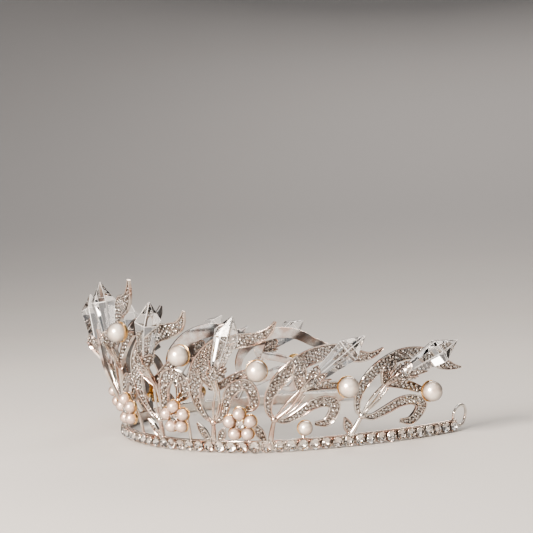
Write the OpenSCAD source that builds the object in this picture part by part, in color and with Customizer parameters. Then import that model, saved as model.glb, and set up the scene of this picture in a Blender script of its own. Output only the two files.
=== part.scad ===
// Crystal and pearl tiara. A stone-set metal band carries nine leaf sprays, one at the front and
// four on each side, with a pencil-pointed crystal and a pearl in each. Pearl flowers stand between.
// Millimetres, +Z up, the front at -Y. The origin is under the middle of the tiara, on the surface.

/* [Band] */
// Radius of the band's front arc
front_radius = 79.5; // [60:0.5:90]
// Length of half of the front arc
front_half = 71; // [40:1:90]
// Radius of the corner arcs between the front and the sides
corner_radius = 35; // [25:0.5:80]
// Length of each corner arc
corner_length = 17; // [10:1:60]
// Radius of the side arcs
side_radius = 138; // [60:1:300]
// Height of the band strip
band_height = 4.9; // [3:0.1:8]
// Thickness of the band strip
band_thickness = 0.9; // [0.5:0.1:2]
// How far the lips above and below the band stones stand out
lip_depth = 0.8; // [0.3:0.1:1.5]
// Thickness of those lips
lip_thickness = 0.35; // [0.2:0.05:0.8]
// How far the sprays lean outward from upright, in degrees
flare = 11; // [0:0.5:30]
// Distance from the band's front to the origin
origin_back = 59.4; // [40:0.1:80]

/* [Band stones] */
// Diameter of a band stone
stone_diameter = 4.0; // [2:0.1:6]
// Distance between band stones along the band
stone_pitch = 4.8; // [3:0.1:8]
// Stones on each side of the middle one
stones_each_side = 35; // [20:1:45]

/* [Crystals] */
// Length of a crystal from its foot to its point
crystal_length = 27.6; // [15:0.2:40]
// Length of a crystal's point
crystal_point = 9; // [4:0.2:15]
// Radius of a crystal at the shoulder, over its corners
crystal_radius = 5.5; // [3:0.1:8]
// Radius of a crystal at its foot, over its corners
crystal_foot_radius = 2.3; // [1:0.1:4]

/* [Pearls] */
// Diameter of the nine large pearls
pearl_diameter = 8.3; // [6:0.1:12]
// Diameter of the two small pearls that stand alone
bead_diameter = 5.9; // [4:0.1:9]
// Diameter of a flower's pearls
petal_diameter = 5.0; // [3:0.1:8]
// Radius of the ring that a flower's pearls stand on
petal_ring = 4.5; // [4.3:0.05:8]
// Diameter of the cut stone in the middle of a flower
flower_stone_diameter = 3.4; // [2:0.1:5]
// Wall of the gilt cups behind the pearls
cup_wall = 0.45; // [0.2:0.05:1]

/* [Leaves] */
// Width of the raised rim round a leaf
rim_width = 0.55; // [0.3:0.05:1]
// Height of a leaf's rim over the middle of its metal
rim_height = 0.76; // [0.3:0.01:1.5]
// Height of a leaf's bed, which the small stones are set in
bed_height = 0.1; // [-0.3:0.05:0.6]
// Depth of a leaf's back under the middle of its metal
back_depth = 0.66; // [0.3:0.01:1.5]
// Diameter of the plain wires
wire_diameter = 1.02; // [0.6:0.01:2]

/* [Hidden] */

// Clearance between a set piece and the metal that holds it.
gap = 0.12;
// Depth of a cut stone's pavilion, as a share of its radius.
PAVILION = 0.66;
// Depth of a flower's cups behind the centres of its pearls.
FLOWER_BACK = petal_diameter / 2 + gap + cup_wall;
silver = [0.80, 0.78, 0.76];
gilt = [0.86, 0.68, 0.36];
ivory = [0.94, 0.90, 0.84];
clear = [0.88, 0.92, 0.96, 0.6];

// The plan of the band is three tangent arcs a side. Places on it are given by s, the length along
// the band from the front, and the heading there in degrees.
corner_heading = front_half / front_radius * 180 / PI;
side_heading = corner_heading + corner_length / corner_radius * 180 / PI;
corner_start = front_radius * [sin(corner_heading), 1 - cos(corner_heading)];
side_start = corner_start
    + corner_radius * [sin(side_heading) - sin(corner_heading), cos(corner_heading) - cos(side_heading)];
side_from = front_half + corner_length;
band_end = stones_each_side * stone_pitch + stone_pitch / 2;

function heading_right(s) =
    s < front_half ? s / front_radius * 180 / PI :
    s < side_from ? corner_heading + (s - front_half) / corner_radius * 180 / PI :
    side_heading + (s - side_from) / side_radius * 180 / PI;

function plan_right(s) = let (h = heading_right(s))
    s < front_half ? front_radius * [sin(h), 1 - cos(h)] :
    s < side_from ? corner_start + corner_radius * [sin(h) - sin(corner_heading), cos(corner_heading) - cos(h)] :
    side_start + side_radius * [sin(h) - sin(side_heading), cos(side_heading) - cos(h)];

function heading(s) = s < 0 ? -heading_right(-s) : heading_right(s);
function plan(s) = let (p = plan_right(abs(s))) [s < 0 ? -p.x : p.x, p.y - origin_back];

// A point at s along the band, z high and out beyond the flared face of the sprays.
function at(s, z, out = 0, lean_out = flare) = let (
    h = heading(s),
    p = plan(s),
    o = max(z - band_height, 0) * tan(lean_out) + out)
    [p.x + sin(h) * o, p.y - cos(h) * o, z];

// The front spray, and the sprays of the right side from the front to the back. The left side is
// the mirror image of the right. Columns: S and Z of the knot where the leaf, curl and stems part,
// the LEAN towards the back, the scale ACROSS and UP, the scale of the curl (CURLED), the FLARE
// outward, the DROOP of the far part, the crystal's tilt BACK and OUT, the height of its foot
// (FOOT), where the pearl is, across (PEARL_X) and up (PEARL_Y), how far the curl is TURNED down and
// NARROWED, and how far the stem's root stands before the knot (ROOT).
S = 0; Z = 1; LEAN = 2; ACROSS = 3; UP = 4; CURLED = 5; FLARE = 6; DROOP = 7; BACK = 8; OUT = 9;
FOOT = 10; PEARL_X = 11; PEARL_Y = 12; TURNED = 13; NARROWED = 14; ROOT = 15;
FRONT_SPRAY = [-6.6, 13.0, -0.0, 1.15, 1.34, 1.05, 7, 0.0, 0.0, 6.7, 21.9, 23.2, 26.5, 0, 1, 1.7];
RIGHT_SPRAYS = [
    [33.9, 12.4, -2.6, 0.95, 1.08, 1.20, 20, 3.3, 21.8, 12.6, 23.0, 24.8, 26.1, -8, 0.85, 1.7],
    [61.2, 12.7, 1.6, 0.86, 0.97, 1.00, 20, 0.7, 27.1, 19.4, 21.2, 21.4, 22.9, 0, 1, 1.7],
    [84.9, 13.6, 23.2, 0.87, 1.00, 1.00, 20, 5.5, 48.8, 18.8, 19.6, 20.8, 22.2, 0, 1, 1.7],
    [120.5, 12.3, 9.6, 0.80, 1.04, 1.22, 18, 35.7, 59.5, 21.1, 19.2, 26.3, 17.7, 15, 1, 4.9],
];

// The crescent leaf, from the knot round behind the crystal to its curled tip.
// Columns: across, up, width, and how far it bows back behind the crystal.
LEAF = [
    [-0.6, 0.3, 1.6, 0.0],
    [-3.6, 2.6, 2.6, 0.0],
    [-5.9, 8.4, 4.2, 0.0],
    [-5.6, 15.4, 6.2, 0.2],
    [-3.0, 22.0, 7.3, 1.1],
    [0.6, 27.0, 7.5, 2.5],
    [5.4, 31.2, 7.3, 3.1],
    [11.0, 33.9, 6.8, 3.0],
    [16.6, 34.8, 6.1, 2.2],
    [22.0, 36.2, 4.7, 1.0],
    [25.0, 38.9, 2.9, 0.3],
    [26.6, 42.6, 0.8, 0.0],
];

// The curl on the other side of the knot. Columns: across, up, width, and how far it bows back.
CURL = [
    [0.8, 0.0, 1.6, 0],
    [4.4, 1.2, 2.4, 0],
    [8.0, 5.6, 3.4, 0],
    [10.9, 10.4, 3.9, 0],
    [14.7, 13.7, 4.2, 0],
    [18.8, 14.0, 4.2, 0],
    [21.0, 11.0, 4.0, 0],
    [19.6, 7.4, 3.6, 0],
    [15.2, 5.4, 1.6, 0],
];
CURL_TOP = 0.11;
CURL_LIFT = 0.73;
CURL_STONE = 2.4;
CURL_STONES = 9;

// The short branch from the calyx to the large pearl. Columns: share of the way, rise, width.
BRANCH_FROM = [5.0, 15.0];
BRANCH = [
    [0.0, 0.0, 2.6],
    [0.5, 0.6, 3.2],
    [1.0, 0.0, 2.4],
];
BRANCH_LIFT = -0.84;

// Plain stems from the knot to the calyx. Columns of each row: across, up.
STEMS = [
    [[0.2, 0.6], [1.6, 7.0], [4.2, 14.0]],
    [[0.8, 0.6], [4.4, 7.2], [5.4, 14.0]],
];

// The pavé lobe below a crystal runs into the leaf. At the foot a stem goes up to the knot, with a
// small leaf beside it. Columns: across, up, width, and how far the lobe bows back.
LEFT_LOBE = [[4.5, 13.8, 2.0, 0], [2.4, 16.8, 4.6, 0], [0.2, 20.4, 6.2, 0], [-1.4, 23.4, 4.0, 1]];
BUD = [[-1.8, 0.3, 1.6, 0], [-3.2, 2.6, 3.4, 0], [-4.4, 5.0, 3.4, 0], [-5.6, 7.8, 0.8, 0]];

// The pointed sepal comes forward from its root and lies along the front of the crystal.
// Columns: length along the crystal from its foot, width, and distance out from the spray's face.
SEPAL_ROOT = [4.9, 13.8, 2.0, 0];
SEPAL = [[-1.5, 4.2, 4.6], [2.5, 4.0, 6.4], [8.0, 0.8, 7.6]];

// Where a crystal's foot stands, across and out from its knot and face, and how far out a pearl is.
FOOT_ACROSS = 6.2;
FOOT_OUT = 3.02;
PEARL_OUT = 6.83;

// Places of the flowers and of the small pearl that stands alone. The first flower is right of the
// front spray, and the rest are on both sides. Columns: s, z, out.
FRONT_FLOWER = [16.6, 15.6, 5.4];
FLOWERS = [[48.2, 15.0, 7.6], [73.6, 12.4, 6.5]];
// How far the flowers face downward, in degrees.
FLOWER_TILT = 10;
BEAD = [96.7, 9.4, 2.6];

// A place of a spray, x across and y up from the knot, as s and z on the band.
function spray_place(row, x, y, size = 0) = let (
    a = x * (size == 0 ? row[ACROSS] : size * row[NARROWED]),
    b = y * (size == 0 ? row[UP] : size),
    turn = row[LEAN] + row[DROOP] * max(y, 0) / 42)
    [row[S] + a * cos(turn) + b * sin(turn), row[Z] + b * cos(turn) - a * sin(turn)];

// The point there, out beyond the spray's face.
function spray_at(row, x, y, out = 0, size = 0) = let (q = spray_place(row, x, y, size))
    at(q[0], q[1], out, row[FLARE]);

function branch(row) = [for (b = BRANCH)
    [BRANCH_FROM.x + (row[PEARL_X] - BRANCH_FROM.x) * b.x,
        BRANCH_FROM.y + (row[PEARL_Y] - BRANCH_FROM.y) * b.x + b.y, b.z, 0]];
function sepal(row) = let (tilt = row[BACK] - row[LEAN])
    [SEPAL_ROOT, for (q = SEPAL) [FOOT_ACROSS + q.x * sin(tilt), row[FOOT] + q.x * cos(tilt), q.y, -q.z]];
function curl_row(row) = [for (i = [0:len(row) - 1]) row[i] + (i == LEAN ? row[TURNED] : 0)];
function pearl_centre(row) = spray_at(row, row[PEARL_X], row[PEARL_Y], PEARL_OUT);
function pearl_s(row) = spray_place(row, row[PEARL_X], row[PEARL_Y])[0];

// Unit vectors at s: along the band towards the back, outward, and up.
function along(s) = [cos(heading(s)), sin(heading(s)), 0];
function outward(s) = [sin(heading(s)), -cos(heading(s)), 0];

function crystal_axis(row) = let (
    s = spray_place(row, FOOT_ACROSS, row[FOOT])[0] + crystal_length / 3 * sin(row[BACK]),
    v = along(s) * tan(row[BACK]) + outward(s) * tan(row[OUT]) / cos(row[BACK]) + [0, 0, 1])
    v / norm(v);

function side_of(a, b) = let (d = b - a) [-d.y, d.x] / norm(d);
function mid_side(rows, i) = side_of(
    [rows[max(i - 1, 0)].x, rows[max(i - 1, 0)].y],
    [rows[min(i + 1, len(rows) - 1)].x, rows[min(i + 1, len(rows) - 1)].y]);

// The eight corners of a leaf's section at row i, as [across, up, out].
function leaf_section(rows, i, lift) = let (
    n = mid_side(rows, i),
    w = rows[i][2] / 2,
    r = min(rim_width, w * 0.6),
    c = [rows[i].x, rows[i].y])
    [for (q = [[-w, -back_depth], [w, -back_depth], [w, rim_height], [w - r, rim_height],
            [w - r, bed_height], [r - w, bed_height], [r - w, rim_height], [-w, rim_height]])
        [c.x + n.x * q[0], c.y + n.y * q[0], q[1] + lift - rows[i][3]]];

// A leaf swept through the rows of a table, with raised rims on its outer face.
module leaf(row, rows, lift = 0, size = 0) {
    count = len(rows);
    points = [for (i = [0:count - 1]) for (q = leaf_section(rows, i, lift))
        spray_at(row, q[0], q[1], q[2], size)];
    cap = [[0, 1, 5], [1, 4, 5], [1, 2, 4], [2, 3, 4], [0, 5, 7], [5, 6, 7]];
    sides = [for (i = [0:count - 2]) for (k = [0:7]) let (a = i * 8 + k, b = i * 8 + (k + 1) % 8)
        each [[a, b + 8, b], [a, a + 8, b + 8]]];
    last = [for (t = cap) [for (v = [t[0], t[2], t[1]]) v + 8 * (count - 1)]];
    polyhedron(points, concat(sides, cap, last), convexity = 8);
}

// A strip swept through the rows of a table, with sloping sides up to its flat top.
module strip(row, rows, lift = 0, size = 0, top = rim_height) {
    count = len(rows);
    points = [for (i = [0:count - 1]) let (n = mid_side(rows, i), w = rows[i][2] / 2)
        for (q = [[-w, -back_depth], [w, -back_depth], [w * 0.8, top], [-w * 0.8, top]])
            spray_at(row, rows[i].x + n.x * q[0], rows[i].y + n.y * q[0], q[1] + lift - rows[i][3], size)];
    sides = [for (i = [0:count - 2]) for (k = [0:3]) let (a = i * 4 + k, b = i * 4 + (k + 1) % 4)
        each [[a, b + 4, b], [a, a + 4, b + 4]]];
    m = 4 * (count - 1);
    ends = [[0, 1, 2], [0, 2, 3], [m, m + 2, m + 1], [m, m + 3, m + 2]];
    polyhedron(points, concat(sides, ends), convexity = 8);
}

// A round wire of five sides through points in space.
module wire(points, diameter = wire_diameter) {
    count = len(points);
    sides = 5;
    rings = [for (i = [0:count - 1]) let (
        t = points[min(i + 1, count - 1)] - points[max(i - 1, 0)],
        d = t / norm(t),
        u0 = abs(d.z) < 0.8 ? cross(d, [0, 0, 1]) : cross(d, [0, 1, 0]),
        u = u0 / norm(u0),
        v = cross(d, u))
        for (k = [0:sides - 1])
            points[i] + diameter / 2 * (u * cos(k * 360 / sides) + v * sin(k * 360 / sides))];
    walls = [for (i = [0:count - 2]) for (k = [0:sides - 1]) let (a = i * sides + k, b = i * sides + (k + 1) % sides)
        each [[a, b + sides, b], [a, a + sides, b + sides]]];
    first = [for (k = [1:sides - 2]) [0, k, k + 1]];
    last = [for (k = [1:sides - 2]) let (m = (count - 1) * sides) [m, m + k + 1, m + k]];
    polyhedron(rings, concat(walls, first, last), convexity = 4);
}

// Puts what follows at a point with its own +Z along a direction.
module aim(point, direction) {
    d = direction / norm(direction);
    u0 = abs(d.z) < 0.99 ? cross([0, 0, 1], d) : [1, 0, 0];
    u = u0 / norm(u0);
    v = cross(d, u);
    multmatrix([[u.x, v.x, d.x, point.x], [u.y, v.y, d.y, point.y], [u.z, v.z, d.z, point.z]]) children();
}

// A cut stone about its own +Z: a table, a faceted crown, and a pavilion down to a point.
module cut_stone(diameter, sides = 8) {
    r = diameter / 2;
    table = r * 0.6;
    crown = r * 0.42;
    step = 360 / sides;
    girdle_points = [for (k = [0:sides - 1]) [r * cos(k * step), r * sin(k * step), 0]];
    table_points = [for (k = [0:sides - 1])
        [table * cos((k + 0.5) * step), table * sin((k + 0.5) * step), crown]];
    points = concat(girdle_points, table_points, [[0, 0, -r * PAVILION]]);
    crown_faces = [for (k = [0:sides - 1]) let (n = (k + 1) % sides)
        each [[k, k + sides, n], [n, k + sides, n + sides]]];
    pavilion_faces = [for (k = [0:sides - 1]) [k, (k + 1) % sides, 2 * sides]];
    polyhedron(points, concat(crown_faces, pavilion_faces, [[for (k = [sides - 1:-1:0]) k + sides]]));
}

// The pencil-pointed six-sided crystal about its own +Z, grown all over by a clearance.
module crystal_shape(grow = 0) {
    shoulder = crystal_length - crystal_point;
    foot_r = crystal_foot_radius + grow;
    top_r = crystal_radius + grow;
    points = concat(
        [for (k = [0:5]) [foot_r * cos(k * 60), foot_r * sin(k * 60), -grow]],
        [for (k = [0:5]) [top_r * cos(k * 60), top_r * sin(k * 60), shoulder]],
        [[0, 0, crystal_length + grow]]);
    walls = [for (k = [0:5]) let (n = (k + 1) % 6) [k, k + 6, n + 6, n]];
    tips = [for (k = [0:5]) [k + 6, 12, (k + 1) % 6 + 6]];
    polyhedron(points, concat(walls, tips, [[for (k = [0:5]) k]]));
}

function crystal_foot(row) = spray_at(row, FOOT_ACROSS, row[FOOT], FOOT_OUT);

module crystal(row) {
    color(clear) aim(crystal_foot(row), crystal_axis(row)) crystal_shape();
}

// The body of the cup that holds a crystal's foot, with a short post below it.
module calyx(row) {
    foot = crystal_foot(row);
    axis = crystal_axis(row);
    aim(foot, axis) hull() {
        translate([0, 0, -2.2]) cylinder(r = 1.65, h = 0.5, $fn = 6);
        translate([0, 0, 3.3]) cylinder(r = 4.3, h = 0.4, $fn = 6);
    }
    wire([foot - axis * 1.4, spray_at(row, 4.8, 14.4)], 2.8);
}

// The stem and the small leaf that carry a knot on the band.
module foot_of_spray(row) {
    base = [row[S] - row[ROOT], band_height - 0.5, 0, 1, 1, 1, row[FLARE], 0];
    strip(base, [[0, 0, 2.6, 0], [row[ROOT], row[Z] - band_height + 0.4, 1.8, 0]], -0.1);
    strip([row[S] - 1.7, base[Z], 0, 1, 1, 1, row[FLARE], 0], BUD, 0);
}

// The post behind a large pearl's cup, from the branch of its spray.
module pearl_post(row) {
    c = spray_at(row, row[PEARL_X], row[PEARL_Y], BRANCH_LIFT);
    reach = PEARL_OUT - pearl_diameter / 2 - cup_wall - 2 * gap - BRANCH_LIFT;
    wire([c, c + outward(pearl_s(row)) * reach], 1.6);
}

module spray_metal(row) {
    difference() {
        union() {
            leaf(row, LEAF);
            strip(row, LEFT_LOBE, -0.15);
            strip(row, sepal(row), 0.2);
            calyx(row);
        }
        aim(crystal_foot(row), crystal_axis(row)) crystal_shape(gap);
    }
    strip(curl_row(row), CURL, CURL_LIFT, row[CURLED], CURL_TOP);
    strip(row, branch(row), BRANCH_LIFT);
    for (path = STEMS) wire([for (p = path) spray_at(row, p.x, p.y, 0.1)]);
    translate(spray_at(row, 0, 0)) sphere(d = 3.4, $fn = 6);
    pearl_post(row);
    foot_of_spray(row);
}

module flower_stem(place) {
    wire([at(place[0], band_height - 0.5, 0), at(place[0], place[1] * 0.65, 0),
        at(place[0], place[1], 0), at(place[0], place[1], place[2] - FLOWER_BACK - 3 * gap)], 1.4);
}

// The channel strip: a flat band with a lip above and below the stones.
module band() {
    steps = 54;
    profile = [[-band_thickness, 0], [lip_depth, 0], [lip_depth, lip_thickness], [0, lip_thickness],
        [0, band_height - lip_thickness], [lip_depth, band_height - lip_thickness],
        [lip_depth, band_height], [-band_thickness, band_height]];
    points = [for (i = [0:steps]) let (s = -band_end + i * 2 * band_end / steps, h = heading(s), p = plan(s))
        for (q = profile) [p.x + sin(h) * q[0], p.y - cos(h) * q[0], q[1]]];
    cap = [[0, 1, 3], [1, 2, 3], [0, 3, 4], [0, 4, 7], [4, 5, 7], [5, 6, 7]];
    sides = [for (i = [0:steps - 1]) for (k = [0:7]) let (a = i * 8 + k, b = i * 8 + (k + 1) % 8)
        each [[a, b, b + 8], [a, b + 8, a + 8]]];
    first = [for (t = cap) [t[0], t[2], t[1]]];
    last = [for (t = cap) [for (v = t) v + 8 * steps]];
    polyhedron(points, concat(sides, first, last), convexity = 10);
}

// The ring of wire at each end of the band, which a comb or ribbon is tied to.
module end_ring() {
    ring = [for (a = [0:30:360]) at(band_end + 3.6 + 4.2 * cos(a), 6.4 + 4.4 * sin(a), -band_thickness / 2)];
    wire(ring, 1.2);
}

module right_metal() {
    for (row = RIGHT_SPRAYS) spray_metal(row);
    for (place = FLOWERS) flower_stem(place);
    wire([at(BEAD[0], band_height - 0.5, -0.2), at(BEAD[0], BEAD[1], -2.2),
        at(BEAD[0], BEAD[1], BEAD[2] - bead_diameter / 2 - gap)], 1.4);
    end_ring();
}

module frame() {
    color(silver) union() {
        band();
        right_metal();
        mirror([1, 0, 0]) right_metal();
        spray_metal(FRONT_SPRAY);
        flower_stem(FRONT_FLOWER);
    }
}

// The round stones of the band, in its channel.
module band_stones() {
    color(clear) for (i = [-stones_each_side:stones_each_side]) let (s = i * stone_pitch)
        aim(at(s, band_height / 2, stone_diameter / 2 * PAVILION + gap), outward(s)) cut_stone(stone_diameter);
}

// A place along the middle of a curl, t rows from its start, and the direction its face looks in.
function on_curl(t) = let (i = min(floor(t), len(CURL) - 2), f = t - i) CURL[i] * (1 - f) + CURL[i + 1] * f;
function face_normal(row, s) = outward(s) * cos(row[FLARE]) - [0, 0, 1] * sin(row[FLARE]);

module stones_of_curl(row) {
    size = row[CURLED];
    for (k = [0:CURL_STONES - 1]) let (
        q = on_curl(1.5 + k * 0.75),
        s = spray_place(row, q.x, q.y, size)[0],
        out = CURL_LIFT + CURL_TOP + CURL_STONE / 2 * PAVILION + gap)
        aim(spray_at(row, q.x, q.y, out, size), face_normal(row, s)) cut_stone(CURL_STONE, 6);
}

// The larger stones of the nine curls.
module curl_stones() {
    color(clear) {
        stones_of_curl(curl_row(FRONT_SPRAY));
        for (row = RIGHT_SPRAYS) {
            stones_of_curl(curl_row(row));
            mirror([1, 0, 0]) stones_of_curl(curl_row(row));
        }
    }
}

// A thin round cup about its own +Z, which holds the back of a pearl.
module pearl_cup(diameter) {
    inner = diameter / 2 + gap;
    outer = inner + cup_wall;
    difference() {
        sphere(r = outer, $fn = 48);
        sphere(r = inner, $fn = 48);
        translate([-2 * outer, -2 * outer, -0.6]) cube([4 * outer, 4 * outer, 2 * outer]);
    }
}

module cup_of_pearl(row) {
    aim(pearl_centre(row), outward(pearl_s(row))) pearl_cup(pearl_diameter);
}

module pearl_cups() {
    color(gilt) {
        cup_of_pearl(FRONT_SPRAY);
        for (row = RIGHT_SPRAYS) {
            cup_of_pearl(row);
            mirror([1, 0, 0]) cup_of_pearl(row);
        }
    }
}

// The middle of a flower: its centre, with +Z outward and +Y up the band.
module at_flower(place) {
    aim(at(place[0], place[1], place[2]), outward(place[0]) - [0, 0, tan(FLOWER_TILT)]) children();
}

// A flower's pearls, or shapes that follow them, on their ring.
module on_ring() {
    for (k = [0:4]) rotate(90 + k * 72) translate([petal_ring, 0, 0]) children();
}

// The five cups of a flower, joined in the middle by the post that carries the cut stone.
module flower_cup() {
    outer = petal_diameter / 2 + gap + cup_wall;
    difference() {
        union() {
            difference() {
                on_ring() sphere(r = outer, $fn = 40);
                translate([-20, -20, -1]) cube([40, 40, 20]);
            }
            translate([0, 0, -FLOWER_BACK]) cylinder(r = 1.7, h = FLOWER_BACK - 0.6, $fn = 32);
        }
        on_ring() sphere(d = petal_diameter + 2 * gap, $fn = 40);
    }
}

module flower_cups() {
    color(gilt) {
        at_flower(FRONT_FLOWER) flower_cup();
        for (place = FLOWERS) {
            at_flower(place) flower_cup();
            mirror([1, 0, 0]) at_flower(place) flower_cup();
        }
    }
}

module flower_stone(place) {
    at_flower(place) translate([0, 0, flower_stone_diameter / 2 * PAVILION + gap - 0.6])
        cut_stone(flower_stone_diameter);
}

module flower_stones() {
    color(clear) {
        flower_stone(FRONT_FLOWER);
        for (place = FLOWERS) {
            flower_stone(place);
            mirror([1, 0, 0]) flower_stone(place);
        }
    }
}

module flower(place) {
    color(ivory) at_flower(place) on_ring() sphere(d = petal_diameter, $fn = 40);
}

module pearl(centre, diameter = pearl_diameter) {
    color(ivory) translate(centre) sphere(d = diameter, $fn = 48);
}

module bead() {
    pearl(at(BEAD[0], BEAD[1], BEAD[2]), bead_diameter);
}

module left_side() {
    mirror([1, 0, 0]) children();
}

frame();
band_stones();
curl_stones();
pearl_cups();
flower_cups();
flower_stones();
crystal(FRONT_SPRAY);  // crystal_front
left_side() crystal(RIGHT_SPRAYS[0]);  // crystal_left_1
left_side() crystal(RIGHT_SPRAYS[1]);  // crystal_left_2
left_side() crystal(RIGHT_SPRAYS[2]);  // crystal_left_3
left_side() crystal(RIGHT_SPRAYS[3]);  // crystal_left_4
crystal(RIGHT_SPRAYS[0]);  // crystal_right_1
crystal(RIGHT_SPRAYS[1]);  // crystal_right_2
crystal(RIGHT_SPRAYS[2]);  // crystal_right_3
crystal(RIGHT_SPRAYS[3]);  // crystal_right_4
pearl(pearl_centre(FRONT_SPRAY));  // pearl_front
left_side() pearl(pearl_centre(RIGHT_SPRAYS[0]));  // pearl_left_1
left_side() pearl(pearl_centre(RIGHT_SPRAYS[1]));  // pearl_left_2
left_side() pearl(pearl_centre(RIGHT_SPRAYS[2]));  // pearl_left_3
left_side() pearl(pearl_centre(RIGHT_SPRAYS[3]));  // pearl_left_4
pearl(pearl_centre(RIGHT_SPRAYS[0]));  // pearl_right_1
pearl(pearl_centre(RIGHT_SPRAYS[1]));  // pearl_right_2
pearl(pearl_centre(RIGHT_SPRAYS[2]));  // pearl_right_3
pearl(pearl_centre(RIGHT_SPRAYS[3]));  // pearl_right_4
left_side() bead();  // bead_left
bead();  // bead_right
flower(FRONT_FLOWER);  // flower_front
left_side() flower(FLOWERS[0]);  // flower_left_1
left_side() flower(FLOWERS[1]);  // flower_left_2
flower(FLOWERS[0]);  // flower_right_1
flower(FLOWERS[1]);  // flower_right_2
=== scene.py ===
"""Finish of the crystal and pearl tiara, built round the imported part.

Lengths are in millimetres until a mesh is made, which is in metres. +Z is up and the front is at -Y.
"""

from __future__ import annotations

import logging
import math
import random
from dataclasses import dataclass, field
from enum import Enum, IntEnum
from typing import Any, Callable, Sequence

import bmesh
import bpy
import numpy as np
from mathutils import Matrix, Vector

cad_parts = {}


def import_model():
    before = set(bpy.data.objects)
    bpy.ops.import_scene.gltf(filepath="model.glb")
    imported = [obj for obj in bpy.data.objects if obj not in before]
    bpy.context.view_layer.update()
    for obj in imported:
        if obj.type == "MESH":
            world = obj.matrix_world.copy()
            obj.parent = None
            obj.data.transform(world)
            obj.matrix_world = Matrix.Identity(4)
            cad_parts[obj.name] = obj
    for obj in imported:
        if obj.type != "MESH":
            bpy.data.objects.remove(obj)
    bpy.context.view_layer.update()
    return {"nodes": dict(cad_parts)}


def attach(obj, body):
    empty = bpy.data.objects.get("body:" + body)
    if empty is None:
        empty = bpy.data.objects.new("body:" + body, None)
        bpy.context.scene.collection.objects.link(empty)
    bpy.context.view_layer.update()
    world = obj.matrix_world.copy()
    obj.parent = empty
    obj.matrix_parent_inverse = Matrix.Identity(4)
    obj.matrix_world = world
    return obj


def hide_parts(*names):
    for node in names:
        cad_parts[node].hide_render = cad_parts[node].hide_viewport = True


log = logging.getLogger("tiara")

MM = 0.001
UP = np.array([0.0, 0.0, 1.0])
BACK = np.array([0.0, 1.0, 0.0])
# Curve points from one bend of a claw to the next.
CLAW_STEPS = 3
Points = np.ndarray
Rows = Sequence[Sequence[float]]
Faces = list[tuple[int, ...]]
# Gives points of a ribbon at places along its curve, across it and out of it.
Surface = Callable[[Points, Points, Points], Points]


class Slot(Enum):
    """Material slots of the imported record."""

    SILVER = "silver_metal"
    GILT = "gilt_metal"
    STONE = "cut_stone"
    CRYSTAL = "clear_crystal"
    PEARL = "pearl"


class Skin(IntEnum):
    """Which of a piece's two finishes a face takes.

    The second is a stone's foiled back, a casting's set bed or a crystal's broken edge.
    """

    MAIN = 0
    SECOND = 1


# Colour and nodes


def linear(hex_colour: str) -> tuple[float, float, float, float]:
    """Turns an sRGB hex colour into linear light.

    Args:
        hex_colour: six hex digits, with or without a leading hash.

    Returns:
        Red, green, blue and alpha as Blender's colour sockets take them.
    """
    digits = hex_colour.lstrip("#")
    parts = [int(digits[i:i + 2], 16) / 255 for i in (0, 2, 4)]
    light = [c / 12.92 if c <= 0.04045 else ((c + 0.055) / 1.055) ** 2.4 for c in parts]
    return light[0], light[1], light[2], 1.0


def add_node(
    tree: bpy.types.NodeTree,
    kind: str,
    settings: dict[str, Any] | None = None,
    links: dict[str, bpy.types.NodeSocket] | None = None,
) -> bpy.types.Node:
    """Adds a node with its settings and its incoming links.

    Args:
        tree: the material's or world's node tree.
        kind: Blender's name of the node type.
        settings: properties of the node, or values of its inputs by name.
        links: the sockets that feed its inputs, by input name.

    Returns:
        The new node.
    """
    node = tree.nodes.new(kind)
    for name, value in (settings or {}).items():
        if name in node.inputs:
            node.inputs[name].default_value = value
        else:
            setattr(node, name, value)
    for name, socket in (links or {}).items():
        tree.links.new(socket, node.inputs[name])
    return node


def per_mm(size_mm: float) -> float:
    """Texture scale at which one cell of a pattern is that many millimetres."""
    return 1.0 / (size_mm * MM)


@dataclass(frozen=True)
class Drift:
    """Soft clouds of two colours, and the shares at which the low one ends and the high one begins."""

    low: str
    high: str
    cloud_mm: float
    low_to: float
    high_from: float
    detail: float = 2.0


class Draft:
    """A material while it is made: its nodes, and the place on the piece that its patterns follow."""

    def __init__(self, name: str) -> None:
        """Starts an empty node material.

        Args:
            name: the material's name.
        """
        self.material = bpy.data.materials.new(name)
        self.material.use_nodes = True
        self.tree = self.material.node_tree
        self.tree.nodes.clear()
        self.place = add_node(self.tree, "ShaderNodeTexCoord").outputs["Object"]

    def clouds(self, drift: Drift) -> tuple[bpy.types.NodeSocket, bpy.types.NodeSocket]:
        """Spreads soft clouds of two colours over the surface.

        Args:
            drift: the colours, and how large and how soft their clouds are.

        Returns:
            The clouds' value and their colour.
        """
        cloud = add_node(self.tree, "ShaderNodeTexNoise",
                         {"Scale": per_mm(drift.cloud_mm), "Detail": drift.detail}, {"Vector": self.place})
        tint = add_node(self.tree, "ShaderNodeValToRGB", links={"Fac": cloud.outputs["Fac"]})
        low, high = tint.color_ramp.elements
        low.position, low.color = drift.low_to, linear(drift.low)
        high.position, high.color = drift.high_from, linear(drift.high)
        return cloud.outputs["Fac"], tint.outputs["Color"]

    def close(self, settings: dict[str, Any], links: dict[str, bpy.types.NodeSocket]) -> bpy.types.Material:
        """Ends the material in its shader.

        Args:
            settings: values of the shader's own sockets.
            links: the sockets that feed it, by input name.

        Returns:
            The finished material.
        """
        shader = add_node(self.tree, "ShaderNodeBsdfPrincipled", settings, links)
        add_node(self.tree, "ShaderNodeOutputMaterial", links={"Surface": shader.outputs["BSDF"]})
        return self.material


# Finishes


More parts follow.
